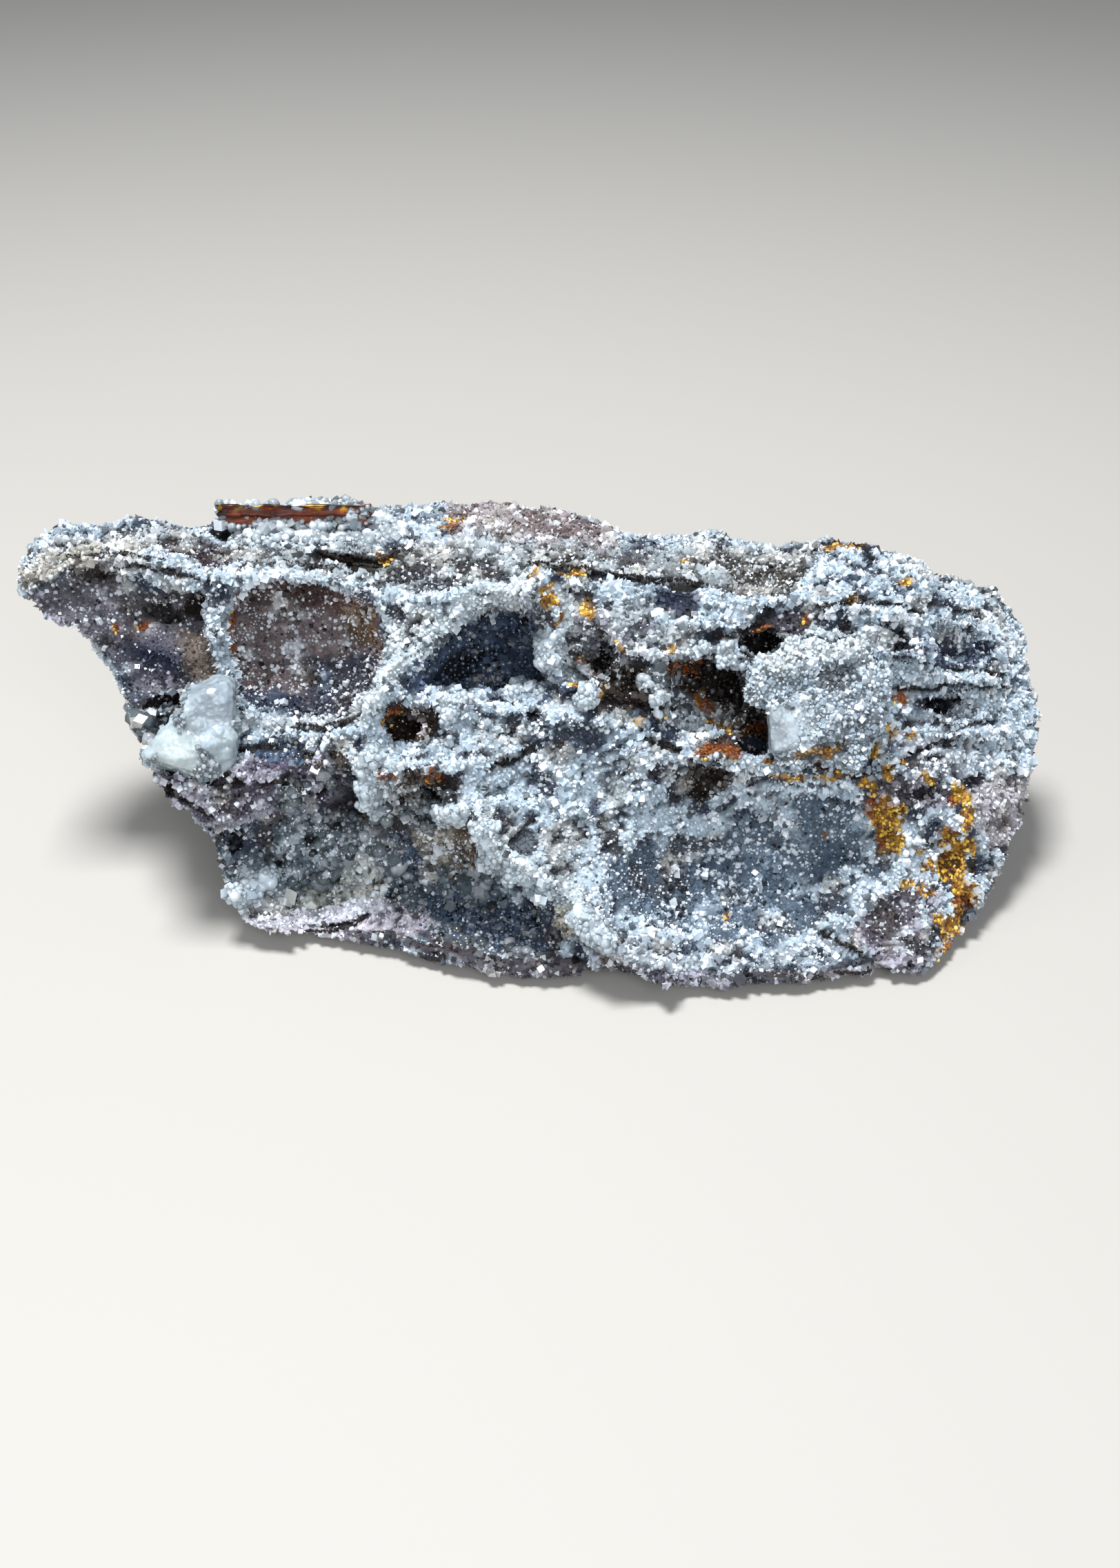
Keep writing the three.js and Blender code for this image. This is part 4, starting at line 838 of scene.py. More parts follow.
def noise(tree, scale, detail=2.0, place=None):
    """Noise fixed to the piece, with so many lumps to the metre."""
    if place is None:
        place = object_place(tree)
    return add(tree, "ShaderNodeTexNoise", {
        "Vector": place, "Scale": scale, "Detail": detail}).outputs["Fac"]


def spread(tree, value, least, most, low=0.0, high=1.0):
    """A value of low to high as one of least to most."""
    return add(tree, "ShaderNodeMapRange", {
        "Value": value, "From Min": low, "From Max": high, "To Min": least, "To Max": most}).outputs["Result"]


def times(tree, first, second):
    return add(tree, "ShaderNodeMath", {0: first, 1: second}, operation="MULTIPLY").outputs["Value"]


def plus(tree, first, second):
    return add(tree, "ShaderNodeMath", {0: first, 1: second}, operation="ADD").outputs["Value"]


def dimmed(tree, colour, factor):
    """A colour made darker or lighter by a factor."""
    return add(tree, "ShaderNodeVectorMath", {
        0: colour, "Scale": factor}, operation="SCALE").outputs["Vector"]


def new_material(name, **values):
    """A material with its shader, whose sockets get the named values that are the same all over."""
    made = bpy.data.materials.new(name)
    made.use_nodes = True
    shader = made.node_tree.nodes["Principled BSDF"]
    for socket, value in values.items():
        shader.inputs[socket.replace("_", " ")].default_value = value
    return made, made.node_tree, shader


def dress(tree, shader, colour, gloss, height=None, strength=0.0, depth=0.0):
    """Feeds the shader its colour and roughness, and a fine relief of that depth in metres."""
    tree.links.new(colour, shader.inputs["Base Color"])
    tree.links.new(gloss, shader.inputs["Roughness"])
    if height is not None:
        bump = add(tree, "ShaderNodeBump", {"Height": height, "Strength": strength, "Distance": depth})
        tree.links.new(bump.outputs["Normal"], shader.inputs["Normal"])


rock_finish, tree, shader = new_material("druse_rock", IOR=1.55, Specular_IOR_Level=0.25)
speckle = spread(tree, noise(tree, 1500, 4), 0.42, 1.1, 0.3, 0.7)
# Painted shade: the rock's colour is dimmed under the crystals, most where the crust is thin, to darken the
# gaps between them.
painted_shade_under_crust = spread(tree, stored_value(tree, "white"), 0.58, 0.72)
dress(tree, shader, dimmed(tree, stored_value(tree, "tint", "Color"), times(tree, speckle, painted_shade_under_crust)),
      spread(tree, noise(tree, 700), 0.55, 0.95), noise(tree, 2600, 3), 0.7, 0.0002)
rock.data.materials.append(rock_finish)
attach(rock, "root")
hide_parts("rock")

# The sugary druse. Thousands of small calcite crystals, flat and pointed rhombohedra a third of a
# millimetre to a millimetre across, clear to white. They grew out of the rock, so each stands on it,
# and they take the colour of the ground they stand on: white on the ridges, dark in the hollows.
DRUSE_FIELDS = [
    # name, side of the rock, spacing and size in mm, tilt in degrees, seed, first and last shape
    ("druse_ridges_left", "pale_left", 0.39, 0.56, 30, 1, 1, 6),
    ("druse_ridges_right", "pale_right", 0.39, 0.56, 30, 2, 1, 6),
    ("druse_hollows_left", "dark_left", 0.30, 0.37, 36, 3, 0, 4),
    ("druse_hollows_right", "dark_right", 0.30, 0.37, 36, 8, 0, 4),
    ("druse_back", "back", 0.47, 0.62, 34, 4, 0, 4),
]
DRUSE_DENSITY = 3.0e7
# The room that crystals keep to the block's box, in millimetres.
EDGE_ROOM = 0.01
# From which share a face counts as front, white or stained, and below which height as base.
FRONT_FROM = 0.45
WHITE_FROM = 0.45
BARE_FROM = 0.5
BASE_HEIGHT = 0.45
# The turn that stands a cube on its corner, and the small one that tips it.
CORNER_LEAN = math.acos(1 / math.sqrt(3))
TIPPED = (0.25, 0.2, 0.0)


def new_tree(name, inputs, output):
    """A node tree with named inputs of those kinds and one shape as its output."""
    tree = bpy.data.node_groups.new(name, "GeometryNodeTree")
    for socket, kind in inputs.items():
        tree.interface.new_socket(socket, in_out="INPUT", socket_type="NodeSocket" + kind)
    tree.interface.new_socket(output, in_out="OUTPUT", socket_type="NodeSocketGeometry")
    return tree, add(tree, "NodeGroupInput").outputs


def finish_tree(tree, given, instances, output):
    """Makes instances real, gives them their material and hands them out."""
    real = add(tree, "GeometryNodeRealizeInstances", {"Geometry": instances}).outputs["Geometry"]
    finished = add(tree, "GeometryNodeSetMaterial", {"Geometry": real, "Material": given["Finish"]})
    add(tree, "NodeGroupOutput", {output: finished.outputs["Geometry"]})
    return tree


def store_field(tree, geometry, name, value):
    """Stores a number for each point under a name."""
    return add(tree, "GeometryNodeStoreNamedAttribute", {
        "Geometry": geometry, "Name": name, "Value": value},
        data_type="FLOAT", domain="POINT").outputs["Geometry"]


def field(tree, name):
    """The number that each point has under a name."""
    return add(tree, "GeometryNodeInputNamedAttribute", {
        "Name": name}, data_type="FLOAT").outputs["Attribute"]


def lot(tree, seed, least=0.0, most=1.0):
    """A number drawn for each point."""
    return add(tree, "FunctionNodeRandomValue", {
        2: least, 3: most, "Seed": seed}, data_type="FLOAT").outputs[1]


def lots(tree, seed, least, most):
    """Three numbers drawn for each point."""
    return add(tree, "FunctionNodeRandomValue", {
        0: least, 1: most, "Seed": seed}, data_type="FLOAT_VECTOR").outputs["Value"]


def sow(tree, given, density, factor):
    """Points spread over a skin, each with a shade drawn for it, and the way the skin faces there."""
    sown = add(tree, "GeometryNodeDistributePointsOnFaces", {
        "Mesh": given["Skin"], "Distance Min": given["Spacing"], "Density Max": density,
        "Density Factor": factor, "Seed": given["Seed"]}, distribute_method="POISSON").outputs
    return store_field(tree, sown["Points"], "shade", lot(tree, given["Seed"])), sown["Rotation"]


def ball(tree):
    """A coarse round ball, one metre across before it is scaled."""
    return add(tree, "GeometryNodeMeshIcoSphere", {"Radius": 0.5, "Subdivisions": 1}).outputs["Mesh"]


def druse_tree():
    """Scatters crystals over a skin of rock, which isn't kept itself. The shapes are numbered from 0:
    three short and long points, flat and tall rhombs and a block, two beads, a rounded rhomb and
    block, and a ball."""
    tree, given = new_tree("druse", {
        "Skin": "Geometry", "Spacing": "Float", "Size": "Float", "Tilt": "Float", "Seed": "Int",
        "First Shape": "Int", "Last Shape": "Int", "Finish": "Material"}, "Crystals")
    marked, upright = sow(tree, given, DRUSE_DENSITY, field(tree, "growth"))
    shapes = add(tree, "GeometryNodeGeometryToInstance")

    def keep_shape(geometry, foot, top, smooth):
        """One more shape to choose from, its height from foot to top stored as 0 to 1. The shape
        that is joined last gets number 0."""
        here = add(tree, "GeometryNodeInputPosition").outputs["Position"]
        height = add(tree, "ShaderNodeSeparateXYZ", {"Vector": here}).outputs["Z"]
        tipped = store_field(tree, geometry, "tip", spread(tree, height, 0.0, 1.0, foot, top))
        shading = add(tree, "GeometryNodeSetShadeSmooth", {"Geometry": tipped, "Shade Smooth": smooth})
        tree.links.new(shading.outputs["Geometry"], shapes.inputs["Geometry"])

    def placed(geometry, **moves):
        """A shape that is moved, turned or stretched."""
        return add(tree, "GeometryNodeTransform", {"Geometry": geometry, **moves}).outputs["Geometry"]

    globe = add(tree, "GeometryNodeMeshUVSphere", {"Segments": 8, "Rings": 6, "Radius": 0.5})
    keep_shape(globe.outputs["Mesh"], -0.2, 0.5, True)
    for stretch, corner, smooth in ((0.75, False, False), (0.85, True, True)):
        cube = add(tree, "GeometryNodeMeshCube").outputs["Mesh"]
        worn = add(tree, "GeometryNodeSubdivisionSurface", {
            "Mesh": cube, "Level": 1, "Edge Crease": 0.35}).outputs["Mesh"]
        stood = placed(worn, Rotation=(CORNER_LEAN, math.pi / 4, 0.0) if corner else TIPPED)
        keep_shape(placed(stood, Scale=(1.0, 1.0, stretch)), -0.2 * stretch, 0.55 * stretch, smooth)
    for tall in (0.72, 1.0):
        keep_shape(placed(ball(tree), Scale=(1.0, 0.86, tall)), -0.2 * tall, 0.5 * tall, True)
    for stretch, corner in ((0.8, False), (1.25, True), (0.72, True)):
        cube = add(tree, "GeometryNodeMeshCube").outputs["Mesh"]
        turned = placed(cube, Rotation=(0.0, 0.0, math.pi / 4 if corner else 0.0))
        stood = placed(turned, Rotation=(CORNER_LEAN, 0.0, 0.0) if corner else TIPPED)
        keep_shape(placed(stood, Scale=(0.8, 0.8, 0.8 * stretch)), -0.35 * stretch, 0.69 * stretch, False)
    for sides, radius, tall, sunk in ((4, 0.52, 0.95, 0.3), (3, 0.55, 1.15, 0.35), (3, 0.66, 0.8, 0.25)):
        point = add(tree, "GeometryNodeMeshCone", {
            "Vertices": sides, "Radius Top": 0.0, "Radius Bottom": radius, "Depth": tall}).outputs["Mesh"]
        keep_shape(placed(point, Translation=(0.0, 0.0, -sunk)), -sunk, tall - sunk, False)

    other_seed = plus(tree, given["Seed"], 7)
    kind = add(tree, "FunctionNodeRandomValue", {
        4: given["First Shape"], 5: given["Last Shape"], "Seed": other_seed}, data_type="INT").outputs[2]
    tilt = given["Tilt"]
    back = times(tree, tilt, -1)
    least = add(tree, "ShaderNodeCombineXYZ", {"X": back, "Y": back}).outputs["Vector"]
    most = add(tree, "ShaderNodeCombineXYZ", {"X": tilt, "Y": tilt, "Z": 2 * math.pi}).outputs["Vector"]
    turn = add(tree, "FunctionNodeEulerToRotation", {
        "Euler": lots(tree, given["Seed"], least, most)}).outputs["Rotation"]
    stands = add(tree, "FunctionNodeRotateRotation", {
        "Rotation": upright, "Rotate By": turn}, rotation_space="LOCAL").outputs["Rotation"]
    rarer = add(tree, "ShaderNodeMath", {
        0: lot(tree, other_seed), 1: 1.8}, operation="POWER").outputs["Value"]
    size = times(tree, given["Size"], spread(tree, rarer, 0.62, 1.5))
    grown = add(tree, "GeometryNodeInstanceOnPoints", {
        "Points": marked, "Instance": shapes.outputs["Instances"], "Pick Instance": True,
        "Instance Index": kind, "Rotation": stands, "Scale": times(tree, size, field(tree, "grain"))})
    return finish_tree(tree, given, grown.outputs["Instances"], "Crystals")


def skin_part(source, name, keep):
    """A skin with only the faces that are kept, and its stored values."""
    shape = bmesh.new()
    shape.from_mesh(source)
    shape.faces.ensure_lookup_table()
    dropped = [face for face, kept in zip(shape.faces, keep) if not kept]
    bmesh.ops.delete(shape, geom=dropped, context="FACES")
    mesh = bpy.data.meshes.new(name)
    shape.to_mesh(mesh)
    shape.free()
    return new_object(name, mesh)


def grow(made, tree, inputs):
    """Runs a node tree on an object with named inputs, and keeps the result as its plain mesh."""
    growth = made.modifiers.new("growth", "NODES")
    growth.node_group = tree
    for item in tree.interface.items_tree:
        if item.item_type == "SOCKET" and item.in_out == "INPUT" and item.name in inputs:
            growth[item.identifier] = inputs[item.name]
    settle(made)


def keep_in_box(mesh):
    """Holds a mesh inside the block's own box, with its foot on the ground."""
    inside = np.clip(read_points(mesh), low + EDGE_ROOM, high - EDGE_ROOM)
    inside[:, 2] = np.maximum(inside[:, 2], EDGE_ROOM)
    write_points(mesh, inside)


def grow_druse(made, finish, spacing, size, tilt, seed, first, last):
    """Turns a skin into druse. Spacing and size are in millimetres and the tilt is in degrees."""
    grow(made, druse, {
        "Spacing": spacing * MM, "Size": size * MM, "Tilt": math.radians(tilt), "Seed": seed,
        "First Shape": first, "Last Shape": last, "Finish": finish})
    keep_in_box(made.data)


def mixed(tree, share, first, second):
    """One colour turned into another by a share."""
    return add(tree, "ShaderNodeMix", {
        "Factor": share, 6: first, 7: (*second, 1)}, data_type="RGBA").outputs[2]


def crystal_material(name, clear, darkest, lightest, polish, soot_share):
    """Crystals in the colour of their ground: each a little lighter or darker, paler towards its tip,
    a share of them sooty, and as many bright ones as the ground's own share says. They let through
    the clear share of the light."""
    made, tree, shader = new_material(name, IOR=1.6, Transmission_Weight=clear)
    shade = stored_value(tree, "shade")
    colour = dimmed(tree, stored_value(tree, "tint", "Color"), spread(tree, shade, darkest, lightest))
    glint = spread(tree, plus(tree, shade, stored_value(tree, "sparkle")), 0.0, 0.9, 1.0, 1.2)
    colour = mixed(tree, glint, colour, (0.82, 0.88, 0.95))
    colour = dimmed(tree, colour, spread(tree, stored_value(tree, "tip"), 0.55, 1.08))
    colour = dimmed(tree, colour, spread(tree, shade, 0.22, 1.0, 0.6 * soot_share, soot_share + 0.001))
    etch = noise(tree, 3500)
    dress(tree, shader, colour, spread(tree, etch, polish, polish + 0.3), etch, 0.25, 0.0001)
    return made


sugar_finish = crystal_material("druse_sugar", 0.12, 0.70, 1.14, 0.12, 0.10)
hollow_finish = crystal_material("druse_hollow", 0.2, 0.36, 1.62, 0.08, 0.10)
corner_index = np.empty(len(rock.data.loops), np.int32)
rock.data.loops.foreach_get("vertex_index", corner_index)
first_corner = np.empty(len(rock.data.polygons), np.int32)
rock.data.polygons.foreach_get("loop_start", first_corner)
face_vertex = corner_index[first_corner]
face_points = points[face_vertex]
face_front = front[face_vertex] > FRONT_FROM
face_white = white[face_vertex] > WHITE_FROM
face_left = face_points[:, 0] < 0
face_base = face_points[:, 2] < BASE_HEIGHT
face_bare = yellow[face_vertex] > BARE_FROM
thinly_grown = 0.75 * (1 - front) * (1 - white) * ease(roughness(points, 5.0, 27), -0.1, 0.15)
write_value(rock.data, "growth",
            (1.0 - 0.4 * rusty) * (1.0 - front * cracked) * (1.0 - 0.3 * seams_and_painted_shade * white) * (1.0 - thinly_grown)
            * (1.0 - 0.7 * pits_and_painted_shade))
sides = {
    "pale_left": face_front & face_white & face_left & ~face_bare,
    "pale_right": face_front & face_white & ~face_left & ~face_bare,
    "dark_left": face_front & ~face_white & face_left & ~face_bare,
    "dark_right": face_front & ~face_white & ~face_left & ~face_bare,
    "back": ~face_front & ~face_base & ~face_bare,
}
druse = druse_tree()
for name, side, *growing in DRUSE_FIELDS:
    crystals = skin_part(rock.data, name, sides[side])
    grow_druse(crystals, sugar_finish if side.startswith("pale") else hollow_finish, *growing)
    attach(crystals, "root")

# The larger crystals. Glassy knobs a millimetre or two across line the lower left recess and the caves,
# and white ones stand in groups before and behind the iron plate. They grew on the rock like the druse.
LARGE_TILT = 38
LARGE_CRYSTALS = [
    # name, finish, spacing and size in mm, shapes, seed, colour, share of bright ones, drawn outlines
    ("glassy_crystals_recess", "glass", 0.62, 0.98, 5, 9, 5, (138, 154, 166), 0.34, [
        [(400, 1240), (440, 1250), (452, 1290), (410, 1290)],
        [(458, 1176), (484, 1172), (520, 1206), (510, 1244), (482, 1240), (470, 1206)],
        [(500, 1180), (520, 1176), (530, 1200), (512, 1214)],
        [(640, 1250), (700, 1262), (740, 1310), (700, 1324), (640, 1300)],
        [(560, 1256), (600, 1266), (620, 1310), (580, 1320)],
        [(586, 1172), (634, 1194), (630, 1206), (584, 1184)],
        [(400, 1136), (440, 1132), (444, 1180), (412, 1178)],
    ]),
    ("clear_globes", "glass", 0.92, 1.35, 8, 10, 6, (152, 166, 174), 0.30, [
        [(620, 1156), (640, 1150), (664, 1160), (672, 1186), (646, 1194), (624, 1182)],
        [(534, 1152), (572, 1150), (578, 1184), (544, 1188)],
        [(552, 1232), (582, 1232), (582, 1260), (556, 1260)],
        [(456, 1232), (480, 1234), (500, 1250), (476, 1286), (456, 1280)],
        [(516, 1206), (550, 1208), (550, 1236), (520, 1234)],
        [(176, 1028), (236, 1034), (222, 1072), (192, 1088)],
        [(406, 1140), (434, 1136), (440, 1170), (414, 1172)],
    ]),
    ("white_chips", "milk", 1.1, 1.1, 3, 5, 60, (226, 230, 226), 0.4, [
        [(410, 1294), (436, 1294), (436, 1308), (410, 1308)],
        [(456, 1292), (476, 1294), (474, 1312), (458, 1310)],
        [(196, 1040), (216, 1036), (222, 1060), (200, 1064)],
    ]),
    ("glassy_crystals_caves", "glass", 0.72, 1.05, 6, 9, 59, (136, 146, 154), 0.3, [
        [(936, 966), (988, 966), (1014, 1040), (966, 1060)],
        [(620, 1340), (700, 1346), (800, 1392), (700, 1396)],
        [(474, 1112), (506, 1112), (506, 1134), (476, 1132)],
    ]),
    ("dark_grains_blue", "glass", 0.50, 0.72, 5, 7, 61, (112, 134, 166), 0.20, [
        [(590, 976), (620, 950), (660, 928), (700, 890), (738, 884), (766, 900), (788, 940), (800, 976),
         (832, 1000), (740, 1004), (680, 998)],
        [(600, 1300), (680, 1294), (780, 1322), (800, 1376), (720, 1380), (620, 1350)],
        [(376, 1088), (440, 1086), (440, 1104), (376, 1104)],
        [(560, 1200), (590, 1204), (606, 1250), (584, 1256), (566, 1226)],
    ]),
    ("dark_grains_brown", "glass", 0.50, 0.72, 5, 7, 62, (88, 74, 66), 0.12, [
        [(966, 964), (1000, 958), (1042, 966), (1072, 986), (1092, 1012), (1118, 1020), (1114, 1062),
         (1084, 1066), (1070, 1038), (1040, 1010), (1002, 1002), (984, 994)],
        [(830, 954), (872, 960), (910, 964), (950, 966), (948, 992), (934, 1020), (900, 1024), (886, 1006)],
        [(560, 1034), (596, 1030), (632, 1038), (628, 1066), (590, 1074), (562, 1064)],
        [(994, 1118), (1036, 1110), (1060, 1126), (1050, 1148), (1020, 1164), (996, 1150)],
        [(582, 1132), (598, 1118), (628, 1117), (646, 1127), (668, 1152), (628, 1152), (596, 1156)],
        [(440, 1090), (500, 1092), (508, 1114), (476, 1112), (440, 1106)],
    ]),
    ("white_crystals_by_plate", "milk", 0.72, 1.10, 5, 10, 7, (176, 188, 196), 0.3, [
        [(336, 788), (342, 762), (380, 748), (440, 758), (500, 750), (560, 744), (600, 760), (590, 780),
         (480, 790), (400, 784), (340, 792)],
        [(350, 712), (540, 708), (548, 740), (352, 742)],
    ]),
]
glass_finish = crystal_material("glassy_calcite", 0.65, 0.5, 1.3, 0.02, 0.05)
milk_finish = crystal_material("white_calcite", 0.25, 0.75, 1.06, 0.10, 0.0)
u, v, out = as_drawn(points)
face_u = u[face_vertex]
face_v = v[face_vertex]
for name, finish, spacing, size, first, last, seed, colour, sparkling, outlines in LARGE_CRYSTALS:
    share = np.zeros(len(face_u))
    for outline in outlines:
        share = np.maximum(share, field_share(face_u, face_v, outline, 4))
    crystals = skin_part(rock.data, name, face_front & (share > 0.5) & ~face_bare)
    grow_druse(crystals, glass_finish if finish == "glass" else milk_finish,
               spacing, size, LARGE_TILT, seed, first, last)
    tints = tinted(colour, len(crystals.data.vertices))
    tints *= (1 + 0.25 * roughness(read_points(crystals.data), 4.0, seed))[:, None]
    write_tint(crystals.data, np.clip(tints, 0, 1))
    write_value(crystals.data, "sparkle", np.full(len(tints), sparkling))
    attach(crystals, "root")

# The milky crystals. Two masses of white, cloudy calcite stand out of the face, the left one a single
# lump of blocks, the right one grown together from eight. Both are rounded and sugary where druse
# has grown over them, and show smooth cleavage where they broke.
MILKY_VOXEL = 0.26
MILKY_SWELL = 0.16
# What is left of a mass's own colour where druse grows over it: painted shade under the druse.
PAINTED_SHADE_UNDER_DRUSE = 0.35


def milky_material(name, cloud_scale, soft):
    """Cloudy white calcite: light sinks in and scatters, over fine sugary grain."""
    made, tree, shader = new_material(
        name, IOR=1.6, Subsurface_Weight=0.55, Subsurface_Radius=(1.0, 1.0, 1.0),
        Subsurface_Scale=0.0012, Coat_Weight=0.15)
    cloud = noise(tree, cloud_scale, 5)
    grain = add(tree, "ShaderNodeTexVoronoi", {"Vector": object_place(tree), "Scale": 1700})
    dress(tree, shader,
          dimmed(tree, stored_value(tree, "tint", "Color"), spread(tree, cloud, 0.74, 1.05, 0.3, 0.7)),
          spread(tree, cloud, 0.16, 0.45), grain.outputs["Distance"], soft, 0.00025)
    return made


def push_out(mesh, points, amount):
    """Moves a mesh's vertices along its normals, and gives them in millimetres."""
    moved = points + np.reshape(amount, (-1, 1)) * read_normals(mesh)
    write_points(mesh, moved)
    return moved


def dust(made, name, marked, sparkling, finish, *growing):
    """Druse over the marked vertices of an object, with that share of bright crystals."""
    part = skin_part(made.data, name, [marked[polygon.vertices[0]] for polygon in made.data.polygons])
    for value, amount in (("growth", 1.0), ("grain", 1.0), ("sparkle", sparkling), ("white", 1.0)):
        write_value(part.data, value, np.full(len(part.data.vertices), amount))
    grow_druse(part, finish, *growing)
    return part


# Patches of the two masses: drawn outline, edge softness, colour, rise in millimetres, and whether
# they are smooth cleavage or grown over.
MILKY_PATCHES = [
    ([(222, 1080), (250, 1060), (286, 1072), (292, 1106), (262, 1124), (236, 1118)],
     12, (176, 188, 190), 0.0, True),
    ([(272, 1002), (300, 986), (338, 1000), (342, 1040), (312, 1054), (280, 1044)],
     10, (142, 154, 164), 0.0, True),
    ([(196, 996), (258, 1000), (266, 1030), (216, 1040)],
     6, (66, 60, 58), -0.5, True),
    ([(1186, 972), (1214, 960), (1240, 968), (1236, 996), (1204, 1006), (1188, 994)],
     7, (92, 98, 106), -0.9, False),
    ([(1196, 1010), (1262, 992), (1300, 1030), (1290, 1090), (1230, 1110), (1190, 1080)],
     12, (168, 182, 196), -0.4, False),
    ([(1104, 966), (1120, 938), (1170, 916), (1250, 922), (1262, 946), (1220, 956), (1170, 958),
     (1126, 986)],
     9, (222, 232, 238), 0.3, False),
    ([(1150, 1086), (1176, 1079), (1226, 1074), (1234, 1092), (1190, 1107), (1156, 1106)],
     5, (62, 46, 34), -0.6, False),
    ([(1152, 1094), (1170, 1085), (1186, 1084), (1198, 1092), (1222, 1080), (1226, 1088), (1200, 1101),
      (1184, 1093), (1166, 1098), (1158, 1104)], 2, (206, 142, 20), 0.1, False),
]
milky_finish = milky_material("milky_calcite", 500, 0.5)
for node, name, seed, colour, druse_line, filling, finish in (
        ("milky_crystal_left", "milky_mass_left", 21, (166, 180, 188), 0.02, 1.3, milk_finish),
        ("milky_crystals_right", "milky_mass_right", 22, (196, 212, 224), -2.0, 0.5, sugar_finish)):
    mass = copy_of(node, name)
    reskin(mass, MILKY_VOXEL)
    for shift in (filling, -filling):
        push_out(mass.data, relax_mesh(mass.data, 4), shift)
        reskin(mass, MILKY_VOXEL)
    mass_points = relax_mesh(mass.data, 5)
    mass_u, mass_v = as_drawn(mass_points)[:2]
    mass_tint = tinted(colour, len(mass_points))
    blend(mass_tint, 0.6 * ease(roughness(mass_points, 2.2, seed + 2), 0.05, 0.35), linear((128, 146, 160)))
    swell = MILKY_SWELL + 0.3 * roughness(mass_points, 2.6, seed)
    swell += 0.24 * roughness(mass_points, 0.8, seed + 1)
    swell += 0.8 * np.abs(roughness(mass_points, 1.9, seed + 4)) - 0.2
    cleaved = np.zeros(len(mass_points))
    for outline, softness, patch_colour, rise, cleavage in MILKY_PATCHES:
        weight = field_share(mass_u, mass_v, outline, softness)
        blend(mass_tint, 0.85 * weight, linear(patch_colour))
        swell += weight * (rise - (0.7 * swell if cleavage else 0.0))
        blend(cleaved, weight, 1.0 if cleavage else 0.0)
    mass_points = push_out(mass.data, mass_points, swell)
    write_tint(mass.data, mass_tint)
    smooth(mass.data)
    mass.data.materials.append(milky_finish)
    grown_over = (roughness(mass_points, 3.6, seed + 3) > druse_line) & (cleaved < 0.5)
    dusting = dust(mass, name + "_druse", grown_over, 0.3, finish, 0.38, 0.52, 30, seed, 1, 6)
    # Painted shade: the mass is darkened where the druse grows over it.
    write_tint(mass.data, np.where(grown_over, PAINTED_SHADE_UNDER_DRUSE, 1.0)[:, None] * mass_tint)
    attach(mass, "root")
    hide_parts(node)
    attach(dusting, "root")

# The cleaved block. One clean white rhomb stands out of the right mass beside the black gap. It grew
# with the mass and sits two and a half millimetres deep in it, its edges a little worn.
BLOCK_SIZE = np.array([4.3, 3.6, 4.9])
BLOCK_AT = (1147, 1051)
BLOCK_OUT = 1.1
BLOCK_TURN = math.radians(9)
# How far it slants to the side for each millimetre up and inward.
BLOCK_SLANT_UP = 0.10
BLOCK_SLANT_IN = 0.06
mass_wall = BVHTree.FromObject(mass, bpy.context.evaluated_depsgraph_get())
eye = Vector((FACE_MIDDLE + VIEW_DISTANCE * TOWARDS_VIEWER) * MM)


def seen_on(wall, at_u, at_v, raised):
    """The place on a wall that a drawn place stands for, raised towards the viewer by millimetres,
    or nothing where it lies beside the wall."""
    across = (at_u - DRAWN_MIDDLE[0]) / DRAWN_SCALE
    up = (DRAWN_MIDDLE[1] - at_v) / DRAWN_SCALE
    aim = Vector((FACE_MIDDLE + np.array([across, 0, 0]) + up * UP_THE_FACE) * MM)
    sight = (aim - eye).normalized()
    hit = wall.ray_cast(eye, sight)[0]
    return None if hit is None else hit - sight * raised * MM


block = new_object("cleaved_block", bpy.data.meshes.new("cleaved_block"))
shape = bmesh.new()
bmesh.ops.create_cube(shape, size=1.0)
block_foot = np.array(seen_on(mass_wall, *BLOCK_AT, 0.0)) / MM
block_middle = block_foot - (BLOCK_SIZE[1] / 2 - BLOCK_OUT) * TOWARDS_VIEWER
for corner in shape.verts:
    across, inward, upward = np.array(corner.co) * BLOCK_SIZE
    across += BLOCK_SLANT_UP * upward + BLOCK_SLANT_IN * inward
    turned_across = across * math.cos(BLOCK_TURN) - upward * math.sin(BLOCK_TURN)
    turned_up = across * math.sin(BLOCK_TURN) + upward * math.cos(BLOCK_TURN)
    place = block_middle + [turned_across, 0, 0] - inward * TOWARDS_VIEWER + turned_up * UP_THE_FACE
    corner.co = place * MM
bmesh.ops.recalc_face_normals(shape, faces=shape.faces)
shape.to_mesh(block.data)
shape.free()
reskin(block, MILKY_VOXEL)
block_points = relax_mesh(block.data, 3)
block_points = push_out(block.data, block_points, 0.14 * roughness(block_points, 1.1, 81)
                        + 0.10 * np.abs(roughness(block_points, 2.3, 82)))
block_tint = tinted((142, 154, 162), len(block_points))
block_tint *= (1 + 0.5 * roughness(block_points, 1.6, 83))[:, None]
write_tint(block.data, np.clip(block_tint, 0, 1))
smooth(block.data)
# Druse has grown over its right side and its top.
block_u, block_v = as_drawn(block_points + 0.8 * roughness(block_points, 1.4, 84)[:, None])[:2]
block_dusting = dust(block, "cleaved_block_druse", (block_u > 1158) | (block_v < 1026), 0.3, sugar_finish,
                     0.40, 0.55, 30, 85, 1, 6)
write_tint(block_dusting.data, tinted((190, 204, 214), len(block_dusting.data.vertices)))
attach(block_dusting, "root")
block.data.materials.append(milky_finish)
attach(block, "root")

